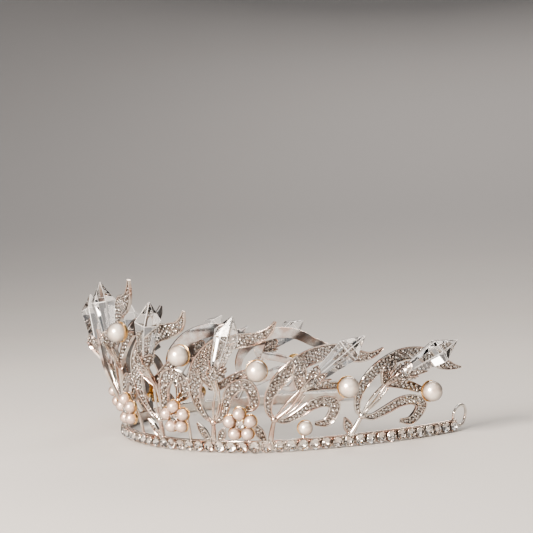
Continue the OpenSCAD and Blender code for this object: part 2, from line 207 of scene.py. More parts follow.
@dataclass(frozen=True)
class RhodiumPlate:
    """Cast white-metal alloy under bright rhodium plate, as on the rims, wires and claws."""

    # Clouds of tone that varies at random; their rose tint is a painted reflection of warm light.
    rose_reflection_tint: Drift = Drift("#D0B7AA", "#E6E1DA", 7.0, 0.38, 0.60, 3.0)
    roughness: tuple[float, float] = (0.09, 0.24)
    cast_grain_mm: float = 0.45
    grain_height_mm: float = 0.05

    def build(self) -> bpy.types.Material:
        """Plate gives a hard white shine and a soft cast skin; its faint rose clouds are a painted warm
        reflection.
        """
        draft = Draft("rhodium_plate")
        _, colour = draft.clouds(self.rose_reflection_tint)
        grain = add_node(draft.tree, "ShaderNodeTexNoise",
                         {"Scale": per_mm(self.cast_grain_mm), "Detail": 2.0}, {"Vector": draft.place})
        polish = add_node(draft.tree, "ShaderNodeMapRange",
                          {"From Min": 0.35, "From Max": 0.7, "To Min": self.roughness[0],
                           "To Max": self.roughness[1]}, {"Value": grain.outputs["Fac"]})
        bump = add_node(draft.tree, "ShaderNodeBump",
                        {"Strength": 0.25, "Distance": self.grain_height_mm * MM},
                        {"Height": grain.outputs["Fac"]})
        return draft.close({"Metallic": 1.0}, {"Base Color": colour, "Roughness": polish.outputs["Result"],
                                               "Normal": bump.outputs["Normal"]})


@dataclass(frozen=True)
class SettingBed:
    """The same casting between the small stones, left matt, with dark clouds of painted shade between the
    stones.
    """

    # Dark clouds are painted shade in the gaps between the small stones.
    painted_gap_shade: Drift = Drift("#5F5652", "#DDD4CE", 0.6, 0.4, 0.66)
    roughness: float = 0.28

    def build(self) -> bpy.types.Material:
        """Painted shade in the cuts gives the brownish lines that part the small stones."""
        draft = Draft("setting_bed")
        _, colour = draft.clouds(self.painted_gap_shade)
        return draft.close({"Metallic": 1.0, "Roughness": self.roughness}, {"Base Color": colour})


@dataclass(frozen=True)
class PaleGilding:
    """Thin gilding over stamped brass, as on the cups behind the pearls."""

    stain: Drift = Drift("#CB9D62", "#F3D5A2", 2.5, 0.35, 0.6, 3.0)
    roughness: tuple[float, float] = (0.16, 0.3)

    def build(self) -> bpy.types.Material:
        """Gilding gives a peach-gold glow round the lower edge of each pearl."""
        draft = Draft("pale_gilding")
        stain, colour = draft.clouds(self.stain)
        polish = add_node(draft.tree, "ShaderNodeMapRange",
                          {"To Min": self.roughness[0], "To Max": self.roughness[1]}, {"Value": stain})
        return draft.close({"Metallic": 1.0}, {"Base Color": colour, "Roughness": polish.outputs["Result"]})


@dataclass(frozen=True)
class CutGlass:
    """Clear glass or acrylic, machine cut and polished."""

    name: str = "cut_lead_glass"
    ior: float = 1.6
    roughest: float = 0.03
    smear: Drift = Drift("#F4F6F8", "#FFFFFF", 5.0, 0.4, 0.6)

    def build(self) -> bpy.types.Material:
        """Polished facets bend what lies behind them and flash where they face a light.

        A faint smear in the polish softens the flash here and there.
        """
        draft = Draft(self.name)
        smear, colour = draft.clouds(self.smear)
        gloss = add_node(draft.tree, "ShaderNodeMapRange",
                         {"From Min": 0.45, "From Max": 0.75, "To Min": 0.0, "To Max": self.roughest},
                         {"Value": smear})
        return draft.close({"Transmission Weight": 1.0, "IOR": self.ior},
                           {"Base Color": colour, "Roughness": gloss.outputs["Result"]})


@dataclass(frozen=True)
class BrokenEdge:
    """The softly tumbled edges of an acrylic crystal, left a little matt."""

    colour: str = "#FFFFFF"
    roughness: tuple[float, float] = (0.25, 0.5)
    scratch_mm: float = 0.8
    clear: float = 0.7
    ior: float = 1.49

    def build(self) -> bpy.types.Material:
        """A matt edge scatters light, and draws a bright line between clear facets."""
        draft = Draft("broken_acrylic_edge")
        scratch = add_node(draft.tree, "ShaderNodeTexNoise",
                           {"Scale": per_mm(self.scratch_mm), "Detail": 3.0}, {"Vector": draft.place})
        matt = add_node(draft.tree, "ShaderNodeMapRange",
                        {"To Min": self.roughness[0], "To Max": self.roughness[1]},
                        {"Value": scratch.outputs["Fac"]})
        return draft.close({"Base Color": linear(self.colour), "Transmission Weight": self.clear,
                            "IOR": self.ior}, {"Roughness": matt.outputs["Result"]})


@dataclass(frozen=True)
class StoneFoil:
    """Silver foil burnt on the back of a cut stone."""

    wear: Drift = Drift("#EFE4DC", "#FFFDFA", 3.0, 0.38, 0.55, 1.0)
    roughness: float = 0.05

    def build(self) -> bpy.types.Material:
        """Foil turns the light back, so that a stone shows bright and dark facets."""
        draft = Draft("stone_foil")
        _, colour = draft.clouds(self.wear)
        return draft.close({"Metallic": 1.0, "Roughness": self.roughness}, {"Base Color": colour})


@dataclass(frozen=True)
class GlassPearl:
    """Glass bead dipped many times in pearl essence."""

    name: str = "glass_pearl"
    dips: Drift = Drift("#EFDCCD", "#FBF2E6", 3.2, 0.36, 0.62)
    # Colour the pearl turns to at its edge, where it faces away from the camera: painted shade.
    edge: str = "#4C3A2E"
    edge_shade_blend: float = 0.5

    def build(self) -> bpy.types.Material:
        """The dipped skin gives a broad soft glow with faint rose clouds, and its colour darkens towards its
        edge as painted shade.
        """
        draft = Draft(self.name)
        _, colour = draft.clouds(self.dips)
        # Mixes in the painted shade as the surface turns away from the camera.
        facing = add_node(draft.tree, "ShaderNodeLayerWeight", {"Blend": self.edge_shade_blend})
        painted_edge_shade = add_node(draft.tree, "ShaderNodeMix", {"data_type": "RGBA", "blend_type": "MIX"},
                          {"Factor": facing.outputs["Facing"]})
        painted_edge_shade.inputs["B"].default_value = linear(self.edge)
        draft.tree.links.new(colour, painted_edge_shade.inputs["A"])
        return draft.close({"Roughness": 0.3, "IOR": 1.53, "Metallic": 0.5,
                            "Coat Weight": 1.0, "Coat Roughness": 0.14, "Coat IOR": 1.7},
                           {"Base Color": painted_edge_shade.outputs["Result"]})


@dataclass(frozen=True)
class PaperBackdrop:
    """Seamless matt paper with a painted pool of light: pale underfoot and greyer towards the wall."""

    # A painted pool of light: the floor colour under the tiara fades to the wall colour with distance from
    # the middle.
    floor: str = "#C6C3BF"
    wall: str = "#858586"
    lit_pool_to: float = 0.28
    painted_fade_from: float = 1.15
    fibre_mm: float = 1.5
    fibre_height_mm: float = 0.1

    def build(self) -> bpy.types.Material:
        """Paper takes soft shadows and gives no shine, and its painted fade to a grey wall sets off the
        bright metal.
        """
        draft = Draft("backdrop_paper")
        far = add_node(draft.tree, "ShaderNodeVectorMath", {"operation": "LENGTH"}, {"Vector": draft.place})
        # Grades the paper from the painted pool of light to the grey wall by distance from the middle.
        share = add_node(draft.tree, "ShaderNodeMapRange",
                         {"interpolation_type": "SMOOTHSTEP", "From Min": self.lit_pool_to,
                          "From Max": self.painted_fade_from}, {"Value": far.outputs["Value"]})
        grade = add_node(draft.tree, "ShaderNodeValToRGB", links={"Fac": share.outputs["Result"]})
        near, away = grade.color_ramp.elements
        near.color, away.color = linear(self.floor), linear(self.wall)
        fibre = add_node(draft.tree, "ShaderNodeTexNoise",
                         {"Scale": per_mm(self.fibre_mm), "Detail": 4.0}, {"Vector": draft.place})
        bump = add_node(draft.tree, "ShaderNodeBump",
                        {"Strength": 0.06, "Distance": self.fibre_height_mm * MM},
                        {"Height": fibre.outputs["Fac"]})
        return draft.close({"Roughness": 0.85, "Specular IOR Level": 0.2},
                           {"Base Color": grade.outputs["Color"], "Normal": bump.outputs["Normal"]})


ACRYLIC = CutGlass("clear_acrylic", ior=1.49, roughest=0.02)
# Its last colour is the painted shade at the pearl's edge.
ROSE_PEARL = GlassPearl("rose_glass_pearl", Drift("#E6C8B6", "#F5E1D3", 2.2, 0.36, 0.62), "#523729")


@dataclass
class Finishes:
    """Every finish of the tiara, each made once."""

    rhodium: bpy.types.Material = field(default_factory=RhodiumPlate().build)
    bed: bpy.types.Material = field(default_factory=SettingBed().build)
    gilding: bpy.types.Material = field(default_factory=PaleGilding().build)
    stone: bpy.types.Material = field(default_factory=CutGlass().build)
    foil: bpy.types.Material = field(default_factory=StoneFoil().build)
    crystal: bpy.types.Material = field(default_factory=ACRYLIC.build)
    crystal_edge: bpy.types.Material = field(default_factory=BrokenEdge().build)
    pearl: bpy.types.Material = field(default_factory=GlassPearl().build)
    rose_pearl: bpy.types.Material = field(default_factory=ROSE_PEARL.build)


# Meshes


@dataclass
class Shape:
    """Points in millimetres with faces, each face with the number of its finish."""

    blocks: list[Points] = field(default_factory=list)
    faces: Faces = field(default_factory=list)
    skins: list[int] = field(default_factory=list)
    count: int = 0

    def add(self, points: Points, faces: Sequence[Sequence[int]], skins: Sequence[int] = ()) -> None:
        """Adds points and faces.

        Args:
            points: the new points, one a row.
            faces: faces by the numbers of these points.
            skins: which finish each face takes, or none where all take the main one.
        """
        block = np.asarray(points, float).reshape(-1, 3)
        self.blocks.append(block)
        self.faces.extend(tuple(i + self.count for i in face) for face in faces)
        self.skins.extend(skins or [Skin.MAIN] * len(faces))
        self.count += len(block)

    def join(self, other: Shape) -> None:
        """Adds all of another shape."""
        self.add(other.points(), other.faces, other.skins)

    def points(self) -> Points:
        """All the points, one a row."""
        return np.vstack(self.blocks)

    def mirrored(self) -> Shape:
        """The mirror image across the middle of the tiara."""
        image = Shape()
        image.add(self.points() * [-1, 1, 1], [face[::-1] for face in self.faces], self.skins)
        return image

    def build(self, name: str, materials: Sequence[bpy.types.Material], sharp: float) -> bpy.types.Object:
        """Makes the Blender object.

        Args:
            name: the piece's name.
            materials: finishes in the order of their numbers.
            sharp: edges that turn by more than this many degrees stay crisp.

        Returns:
            The new object, in metres.
        """
        mesh = bpy.data.meshes.new(name)
        mesh.from_pydata((self.points() * MM).tolist(), [], self.faces)
        mesh.polygons.foreach_set("material_index", self.skins)
        for material in materials:
            mesh.materials.append(material)
        work = bmesh.new()
        work.from_mesh(mesh)
        bmesh.ops.recalc_face_normals(work, faces=work.faces)
        work.to_mesh(mesh)
        work.free()
        mesh.shade_smooth()
        mesh.set_sharp_from_angle(angle=math.radians(sharp))
        made = bpy.data.objects.new(name, mesh)
        bpy.context.scene.collection.objects.link(made)
        return made


@dataclass(frozen=True)
class Piece:
    """A piece of the visual model, and the node that it stands for.

    A pair of braces in its name or its node's name takes the name of its place, such as left_1.
    """

    name: str
    node: str
    slot: Slot
    shape: Shape
    materials: Sequence[bpy.types.Material]
    sharp: float = 40.0

    def settle(self, place: str = "") -> None:
        """Builds the piece, ties it to the part and reports it.

        Args:
            place: the name of its place. What goes on the left is mirrored.
        """
        name = self.name.format(place)
        shape = self.shape.mirrored() if place.startswith("left") else self.shape
        made = shape.build(name, self.materials, self.sharp)
        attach(made, "root")
        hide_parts(self.node.format(place))
        log.info("%s: %d points, %d faces", name, shape.count, len(shape.faces))


def places(name: str, mirrored: bool) -> list[str]:
    """Names of the places of a sub-assembly: one a side, or one at the front."""
    return [f"right_{name}", f"left_{name}"] if mirrored else ["front"]


def unit(vectors: Points) -> Points:
    """Vectors of length one, along the last axis."""
    return vectors / np.linalg.norm(vectors, axis=-1, keepdims=True)


def turns(count: int) -> Points:
    """Angles that part a full turn evenly, in radians."""
    return np.arange(count) * 2 * math.pi / count


def circle(angles: Points, radius: float = 1.0, height: float = 0.0) -> Points:
    """Points at some angles round the third axis, all at one height."""
    return np.column_stack([radius * np.cos(angles), radius * np.sin(angles), np.full(len(angles), height)])


def ring_faces(rings: int, sides: int, closed: bool = False) -> Faces:
    """Faces between neighbouring rings of points.

    Args:
        rings: how many rings there are.
        sides: points in each.
        closed: whether the last ring meets the first. If not, each end has a face of its own.

    Returns:
        The faces, ring by ring, and then those of the ends.
    """
    faces = []
    for i in range(rings if closed else rings - 1):
        for k in range(sides):
            n, after = (k + 1) % sides, (i + 1) % rings * sides
            faces.append((i * sides + k, i * sides + n, after + n, after + k))
    if not closed:
        faces += [tuple(range(sides))[::-1], tuple((rings - 1) * sides + k for k in range(sides))]
    return faces


def smooth_rows(rows: Rows, steps: int) -> Points:
    """Runs a smooth curve through the rows of a table.

    Args:
        rows: the table, any number of columns.
        steps: curve points from one row to the next.

    Returns:
        One row for each point of the curve.
    """
    table = np.asarray(rows, float)
    padded = np.vstack([2 * table[0] - table[1], table, 2 * table[-1] - table[-2]])
    out = []
    for i in range(1, len(padded) - 2):
        p0, p1, p2, p3 = padded[i - 1:i + 3]
        for t in np.arange(steps) / steps:
            out.append(0.5 * (2 * p1 + (p2 - p0) * t + (2 * p0 - 5 * p1 + 4 * p2 - p3) * t ** 2
                              + (3 * p1 - p0 - 3 * p2 + p3) * t ** 3))
    out.append(table[-1])
    return np.array(out)


def tube(path: Points, radius: float | Points, sides: int = 10, closed: bool = False) -> Shape:
    """A round wire along a path.

    Args:
        path: the wire's middle, one point a row.
        radius: one radius, or one for each point.
        sides: sides of its section.
        closed: whether its end meets its start.

    Returns:
        The wire's shape.
    """
    radii = np.broadcast_to(radius, len(path))
    ahead = np.roll(path, -1, axis=0) - np.roll(path, 1, axis=0)
    if not closed:
        ahead[0] = path[1] - path[0]
        ahead[-1] = path[-1] - path[-2]
    ahead = unit(ahead)
    side = np.cross(ahead[0], UP if abs(ahead[0][2]) < 0.9 else BACK)
    section = circle(turns(sides))
    rings = []
    for middle, reach, way in zip(path, radii, ahead):
        side = unit(side - way * np.dot(side, way))
        other = np.cross(way, side)
        rings.append(middle + reach * (np.outer(section[:, 0], side) + np.outer(section[:, 1], other)))
    shape = Shape()
    shape.add(np.vstack(rings), ring_faces(len(path), sides, closed))
    return shape


@dataclass(frozen=True)
class Pose:
    """A place in space with its own axes, the third pointing out of the work."""

    origin: Points
    right: Points
    up: Points
    out: Points

    @staticmethod
    def facing(origin: Points, out: Points, up: Points = UP) -> Pose:
        """A place that faces one way.

        Args:
            origin: where it is.
            out: the way its third axis points.
            up: what its second axis points at as nearly as it can.

        Returns:
            The place.
        """
        face = unit(out)
        right = unit(np.cross(up, face))
        return Pose(np.asarray(origin, float), right, np.cross(face, right), face)

    def moved(self, origin: Points) -> Pose:
        """The same axes at another origin."""
        return Pose(np.asarray(origin, float), self.right, self.up, self.out)

    def put(self, points: Points) -> Points:
        """Carries points from this place's own axes into the tiara's."""
        return (self.origin + np.outer(points[:, 0], self.right) + np.outer(points[:, 1], self.up)
                + np.outer(points[:, 2], self.out))


# Level axes at the tiara's origin.
LEVEL = Pose.facing(np.zeros(3), UP, BACK)


def lathe(profile: Rows, pose: Pose, sides: int = 24) -> Shape:
    """Turns a closed profile round a place's third axis.

    Args:
        profile: radius and height of each corner.
        pose: where the axis stands.
        sides: sides of the turned shape.

    Returns:
        The turned shape.
    """
    points = np.vstack([circle(turns(sides), radius, height) for radius, height in profile])
    shape = Shape()
    shape.add(pose.put(points), ring_faces(len(profile), sides, closed=True))
    return shape


def ball(centre: Points, radius: float, pose: Pose = LEVEL, rings: int = 8) -> Shape:
    """A round ball.

    Args:
        centre: its middle.
        radius: its radius.
        pose: its poles lie along this place's third axis.
        rings: rows of faces from pole to pole.

    Returns:
        The ball's shape.
    """
    sides = rings * 2
    tilts = np.arange(1, rings) * math.pi / rings
    body = [circle(turns(sides), math.sin(tilt), math.cos(tilt)) for tilt in tilts]
    points = np.vstack([[[0, 0, 1.0]], *body, [[0, 0, -1.0]]]) * radius
    faces: Faces = []
    for k in range(sides):
        n = (k + 1) % sides
        faces.append((0, 1 + k, 1 + n))
        faces.extend((1 + i * sides + k, 1 + (i + 1) * sides + k, 1 + (i + 1) * sides + n, 1 + i * sides + n)
                     for i in range(rings - 2))
        base = 1 + (rings - 2) * sides
        faces.append((base + n, base + k, len(points) - 1))
    shape = Shape()
    shape.add(pose.moved(centre).put(points), faces)
    return shape


def claws(pose: Pose, angles: Points, bends: Rows, radii: float | Points) -> Shape:
    """Folds a wire claw over a stone's edge at each of some angles.

    Args:
        pose: the stone's place, facing out.
        angles: where the claws stand, in radians.
        bends: radius and height of each bend of a claw.
        radii: the wire's radius, or one for each point of the smoothed claw.

    Returns:
        The claws' shape.
    """
    shape = Shape()
    for angle in angles:
        path = [[math.cos(angle) * radius, math.sin(angle) * radius, height] for radius, height in bends]
        shape.join(tube(pose.put(smooth_rows(path, CLAW_STEPS)), radii, sides=6))
    return shape


@dataclass(frozen=True)
class GiltCup:
    """A turned cup that holds the back of a pearl, with a beaded edge."""

    inner: float
    wall: float
    beads: int
    bead_radius: float = 0.27
    hole: float = 4.0
    edge: float = 68.0

    def build(self, pose: Pose) -> Shape:
        """Turns the cup, and beads its edge.

        Args:
            pose: the pearl's middle, facing outward.

        Returns:
            The cup's shape.
        """
        outer = self.inner + self.wall
        tilts = np.radians(np.linspace(self.hole, self.edge, 12))
        profile = [(outer * math.sin(t), -outer * math.cos(t)) for t in tilts]
        profile += [(self.inner * math.sin(t), -self.inner * math.cos(t)) for t in tilts[::-1]]
        shape = lathe(profile, pose, 40)
        ring = (self.inner + self.wall / 2) * math.sin(tilts[-1])
        for spot in pose.put(circle(turns(self.beads), ring, -self.inner * math.cos(tilts[-1]))):
            shape.join(ball(spot, self.bead_radius, rings=4))
        return shape


@dataclass(frozen=True)
class Cut:
    """Proportions of a round cut stone, as shares of its radius."""

    sides: int = 8
    table: float = 0.58
    crown: float = 0.40
    pavilion: float = 0.66
    kite: float = 0.80
    kite_up: float = 0.22
    low_in: float = 0.50
    low_down: float = 0.3432
    brilliant: bool = False

    def shape(self) -> tuple[Points, Faces, list[int]]:
        """Works out a stone of radius one, its girdle at height nought.

        Returns:
            Its points, its faces, and which of them are its foiled back.
        """
        n = self.sides
        ring, half = circle(turns(n)), circle(turns(n) + math.pi / n)
        top, culet = [0, 0, self.crown], [[0, 0, -self.pavilion]]
        skins = [Skin.MAIN]
        if not self.brilliant:
            faces: Faces = [tuple(range(n, 2 * n))]
            for k in range(n):
                m = (k + 1) % n
                faces += [(k, m, k + n), (m, m + n, k + n), (m, k, 2 * n)]
                skins += [Skin.MAIN, Skin.MAIN, Skin.SECOND]
            return np.vstack([ring, half * self.table + top, culet]), faces, skins
        faces = [tuple(range(3 * n, 4 * n))]
        for k in range(n):
            m = (k + 1) % n
            between, kite, table, table_next = n + k, 2 * n + k, 3 * n + k, 3 * n + m
            low, low_before, tip = 4 * n + k, 4 * n + (k - 1) % n, 5 * n
            faces += [(k, between, kite), (between, m, kite), (k, kite, table), (m, table_next, kite),
                      (kite, table_next, table), (between, k, low), (m, between, low),
                      (k, low_before, tip, low)]
            skins += [Skin.MAIN] * 5 + [Skin.SECOND] * 3
        points = np.vstack([ring, half, half * self.kite + [0, 0, self.kite_up], ring * self.table + top,
                            half * self.low_in - [0, 0, self.low_down], culet])
        return points, faces, skins


@dataclass
class StoneField:
    """Many stones of one cut, each turned and tipped a little as setting leaves them."""

    cut: Cut
    seed: int
    tip: float
    shape: Shape = field(default_factory=Shape)

    def __post_init__(self) -> None:
        """Prepares the cut and its own run of random numbers."""
        self.pattern = self.cut.shape()
        self.chance = random.Random(self.seed)

    def set(self, pose: Pose, diameter: float) -> None:
        """Adds a stone with its girdle at a place.

        Args:
            pose: the place, facing out of the work.
            diameter: the stone's diameter.
        """
        points, faces, skins = self.pattern
        turn = self.chance.uniform(0, 2 * math.pi)
        lean = math.radians(self.tip) * self.chance.uniform(-1, 1)
        tilt = math.radians(self.tip) * self.chance.uniform(-1, 1)
        spin = Matrix.Rotation(lean, 3, "X") @ Matrix.Rotation(tilt, 3, "Y") @ Matrix.Rotation(turn, 3, "Z")
        self.shape.add(pose.put(points @ np.array(spin).T * (diameter / 2)), faces, skins)


# Plan of the band and of the sprays


@dataclass(frozen=True)
class BandPlan:
    """The band's plan: three tangent arcs a side, measured along the band from the front."""

    front_radius: float = 79.5
    front_half: float = 71.0
    corner_radius: float = 35.0
    corner_length: float = 17.0
    side_radius: float = 138.0
    height: float = 4.9
    origin_back: float = 59.4
    stone_pitch: float = 4.8
    stones_each_side: int = 35

    @property
    def end(self) -> float:
        """Length from the front to an end of the band."""
        return (self.stones_each_side + 0.5) * self.stone_pitch

    @property
    def arcs(self) -> list[tuple[float, float, float]]:
        """Radius of each arc of a side, and the length and the heading at which it begins."""
        turned = self.front_half / self.front_radius
        return [(self.front_radius, 0.0, 0.0), (self.corner_radius, self.front_half, turned),
                (self.side_radius, self.front_half + self.corner_length,
                 turned + self.corner_length / self.corner_radius)]

    def heading(self, s: Points) -> Points:
        """Direction of the band.

        Args:
            s: lengths along the band from the front.

        Returns:
            Its angle at each, in radians.
        """
        a = np.abs(s)
        turned = np.zeros_like(a)
        for radius, begins, start in self.arcs:
            turned = np.where(a < begins, turned, start + (a - begins) / radius)
        return np.sign(s) * turned

    def at(self, s: Any, z: Any, out: Any = 0.0, flare: float = 11.0) -> Points:
        """Points at lengths s along the band, z high and out beyond the flared face.

        Args:
            s: lengths along the band from the front.
            z: heights.
            out: distances outward from the face.
            flare: how far the face leans outward, in degrees.

        Returns:
            One point a row, or a single point for single numbers.
        """
        s, z, out = np.broadcast_arrays(np.asarray(s, float), np.asarray(z, float), np.asarray(out, float))
        turned = self.heading(s)
        x, y = np.zeros(s.shape), np.full(s.shape, -self.origin_back)
        stops = [start for _, _, start in self.arcs[1:]] + [math.inf]
        for (radius, _, start), stop in zip(self.arcs, stops):
            reached = np.clip(np.abs(turned), start, stop)
            x = x + radius * (np.sin(reached) - math.sin(start))
            y = y + radius * (math.cos(start) - np.cos(reached))
        push = np.maximum(z - self.height, 0) * math.tan(math.radians(flare)) + out
        return np.stack([np.sign(s) * x + np.sin(turned) * push, y - np.cos(turned) * push, z], axis=-1)

    def outward(self, s: float) -> Points:
        """Level direction out of the band at a length s."""
        h = float(self.heading(np.float64(s)))
        return np.array([math.sin(h), -math.cos(h), 0.0])

    def along(self, s: float) -> Points:
        """Level direction along the band towards its right end at a length s."""
        h = float(self.heading(np.float64(s)))
        return np.array([math.cos(h), math.sin(h), 0.0])


PLAN = BandPlan()

# Columns: across, up, width, and how far the leaf bows back behind the crystal.
LEAF = [[-0.6, 0.3, 1.6, 0.0], [-3.6, 2.6, 2.6, 0.0], [-5.9, 8.4, 4.2, 0.0], [-5.6, 15.4, 6.2, 0.2],
        [-3.0, 22.0, 7.3, 1.1], [0.6, 27.0, 7.5, 2.5], [5.4, 31.2, 7.3, 3.1], [11.0, 33.9, 6.8, 3.0],
        [16.6, 34.8, 6.1, 2.2], [22.0, 36.2, 4.7, 1.0], [25.0, 38.9, 2.9, 0.3], [26.6, 42.6, 0.8, 0.0]]
# The leaf's tail begins this far across.
TAIL_FROM = 18.0
# Columns: across, up, width.
CURL = [[0.8, 0.0, 1.6], [4.4, 1.2, 2.8], [8.0, 5.6, 3.8], [10.9, 10.4, 4.4], [14.7, 13.7, 4.8],
        [18.8, 14.0, 4.8], [21.0, 11.0, 4.5], [19.6, 7.4, 3.9], [15.2, 5.4, 1.8]]
# How far the last rows of a tucked curl move across and up.
CURL_TUCK = [[-0.5, -0.6], [0.3, -1.7], [0.6, -2.0]]
# Columns: across, up, width. The knot stands above a bud's foot by BUD_SHIFT across.
BUD = [[-1.8, 0.3, 1.6], [-3.2, 2.6, 3.4], [-4.4, 5.0, 3.4], [-5.6, 7.8, 0.8]]
BUD_SHIFT = 1.7
# Columns: across, up, width, and how far the lobe bows back.
LOBE = [[4.5, 13.8, 2.0, 0.0], [2.4, 16.8, 4.6, 0.0], [0.2, 20.4, 6.2, 0.0], [-1.4, 23.4, 4.0, 1.0]]
# The pointed sepal's first row, in the lobe's columns.
SEPAL_ROOT = [4.9, 13.8, 2.0, 0.0]
# Its other rows. Columns: share of its reach along the crystal from the foot, width, and distance out
# from the spray's face, which grows by SEPAL_SLOPE along the crystal as the crystal widens.
SEPAL = [[-0.19, 4.2, 4.93], [0.31, 4.0, 5.85], [1.0, 0.8, 5.85]]
SEPAL_SLOPE = 0.22
# Plain stems from the knot to the calyx, and the thickness of each. Columns of each row: across, up.
STEMS = [[[0.2, 0.6], [1.6, 7.0], [4.2, 14.0]], [[0.8, 0.6], [4.4, 7.2], [5.4, 14.0]],
         [[1.0, 0.4], [6.2, 6.8], [7.6, 13.0]]]
STEM_SHARES = [1.0, 1.15, 0.8]
# The branch's start, and its rows. Columns: share of the way to the pearl, width, and rise.
BRANCH_ROOT = np.array([5.0, 15.0])
BRANCH = [[0.0, 3.0, 0.0], [0.5, 3.6, 0.6], [1.0, 3.0, 0.0]]
# Rows of small stones on a calyx. Columns: share of the way up, and how many.
CALYX_STONES = [(0.22, 8), (0.42, 10), (0.62, 12), (0.82, 14)]
# Corners of the strip behind the band's cups. Columns: out, up.
STRIP = [(-0.9, 1.1), (-0.75, 0.9), (-0.15, 0.9), (0.0, 1.1), (0.0, 4.5), (0.6, 4.55), (0.7, 4.7),
         (0.6, 4.88), (-0.7, 4.9), (-0.9, 4.7)]
# Which side of a ribbon's section is its bed.
BED_SIDE = 6
# Ribbons face away from this place amid the head, and that way has this weight beside the band's own.
HEAD = np.array([0.0, -20.0, 0.0])
HEAD_WEIGHT = np.array([1.0, 1.0, 0.0]) / 120
SMALL_CUT = Cut(table=0.52, crown=0.42, pavilion=0.5)


@dataclass(frozen=True)
class Ribbon:
    """A leaf-like casting: a bed between two raised rims, swept through the rows of a table."""

    rows: Rows
    lift: float = 0.0
    size: tuple[float, float] | None = None
    turned: float = 0.0
    rim: float = 0.55
    rim_height: float = 0.76
    bed_height: float = 0.1
    back: float = 0.66
    soft: float = 0.14
    steps: int = 6

    def rim_at(self, half: float) -> float:
        """Width of each rim where the ribbon has that half width."""
        return min(self.rim, half * 0.6)

    def section(self, half: float) -> Points:
        """Corners of the ribbon's section.

        Args:
            half: half its width there.

        Returns:
            Distances across and out, up the right half and down the left.
        """
        rim = self.rim_at(half)
        soft = min(self.soft, rim * 0.3)
        top, bed, back = self.rim_height, self.bed_height, -self.back
        right = [(half - soft, back), (half, back + soft), (half, top - soft), (half - rim * 0.3, top),
                 (half - rim * 0.7, top), (half - rim, top - soft), (half - rim, bed)]
        left = [(-x, y) for x, y in right[::-1]]
        return np.array(right + left)


@dataclass(frozen=True)
class Spray:
    """One spray: its knot, how it leans and swells, and where its crystal and pearl stand.

    Its knot stands at s and z on the band. Its lean, flare and droop turn it, and back and out turn its
    crystal, all in degrees. The other columns are in the units of the tables above, or scale them.
    """

    name: str
    s: float
    z: float
    lean: float
    across: float
    up: float
    curled: float
    flare: float
    droop: float
    back: float
    out: float
    foot: float
    pearl_x: float
    pearl_y: float
    turned: float = 0.0
    narrowed: float = 1.0
    root: float = 1.7
    reach: float = 5.0
    mirrored: bool = True
    twin_bud: bool = False
    tail: float = 1.0
    branch_width: float = 1.0
    tucked: float = 0.0

    droop_over: float = 42.0
    foot_across: float = 6.2
    foot_out: float = 3.02
    pearl_out: float = 6.83
    branch_lift: float = -0.84

    def place(
        self, x: Any, y: Any, size: tuple[float, float] | None = None, extra: float = 0.0
    ) -> tuple[Any, Any]:
        """Place on the band of a spray's own coordinates.

        Args:
            x: distances across from the knot.
            y: distances up from the knot.
            size: scales across and up, or none for the spray's own.
            extra: degrees turned beyond the spray's own lean.

        Returns:
            Lengths along the band, and heights.
        """
        across, up = size or (self.across, self.up)
        a = np.asarray(x, float) * across
        b = np.asarray(y, float) * up
        turn = np.radians(self.lean + extra + self.droop * np.maximum(y, 0) / self.droop_over)
        return self.s + a * np.cos(turn) + b * np.sin(turn), self.z + b * np.cos(turn) - a * np.sin(turn)

    def point(
        self, x: Any, y: Any, out: Any = 0.0, size: tuple[float, float] | None = None, extra: float = 0.0
    ) -> Points:
        """Points of a spray's own coordinates, out beyond its face.

        Args:
            x: distances across from the knot.
            y: distances up from the knot.
            out: distances out from the face.
            size: scales across and up, or none for the spray's own.
            extra: degrees turned beyond the spray's own lean.

        Returns:
            One point a row, or a single point for single numbers.
        """
        s, z = self.place(x, y, size, extra)
        return PLAN.at(s, z, out, self.flare)

    def normal(self, s: float) -> Points:
        """Direction out of the spray's flared face."""
        tilt = math.radians(self.flare)
        return PLAN.outward(s) * math.cos(tilt) - UP * math.sin(tilt)

    @property
    def crystal_foot(self) -> Points:
        """Middle of the crystal's foot."""
        return self.point(self.foot_across, self.foot, self.foot_out)

    @property
    def crystal_axis(self) -> Points:
        """Direction of the crystal from its foot to its point."""
        lean_back, lean_out = math.radians(self.back), math.radians(self.out)
        s = float(self.place(self.foot_across, self.foot)[0]) + Crystal.length / 3 * math.sin(lean_back)
        return unit(PLAN.along(s) * math.tan(lean_back)
                    + PLAN.outward(s) * math.tan(lean_out) / math.cos(lean_back) + UP)

    def leaf(self) -> list[list[float]]:
        """Rows of the large leaf, its tail as wide as this spray has it."""
        return [[*row[:2], row[2] * (self.tail if row[0] > TAIL_FROM else 1.0), row[3]] for row in LEAF]

    def curl(self) -> list[list[float]]:
        """Rows of the curl, its end hanging towards the band where this spray's does."""
        rows = [list(row) for row in CURL]
        for row, (across, up) in zip(rows[-len(CURL_TUCK):], CURL_TUCK):
            row[0] += across * self.tucked
            row[1] += up * self.tucked
        return rows

    def sepal(self) -> list[list[float]]:
        """Rows of the pointed sepal that lies along the front of the crystal."""
        tilt = math.radians(self.back - self.lean)
        rows = [SEPAL_ROOT]
        for share, width, out in SEPAL:
            run = share * self.reach
            rows.append([self.foot_across + run * math.sin(tilt), self.foot + run * math.cos(tilt),
                         width, -out - SEPAL_SLOPE * run])
        return rows

    @property
    def pearl_s(self) -> float:
        """Length along the band at the large pearl."""
        return float(self.place(self.pearl_x, self.pearl_y)[0])

    @property
    def pearl_centre(self) -> Points:
        """Middle of the large pearl."""
        return self.point(self.pearl_x, self.pearl_y, self.pearl_out)


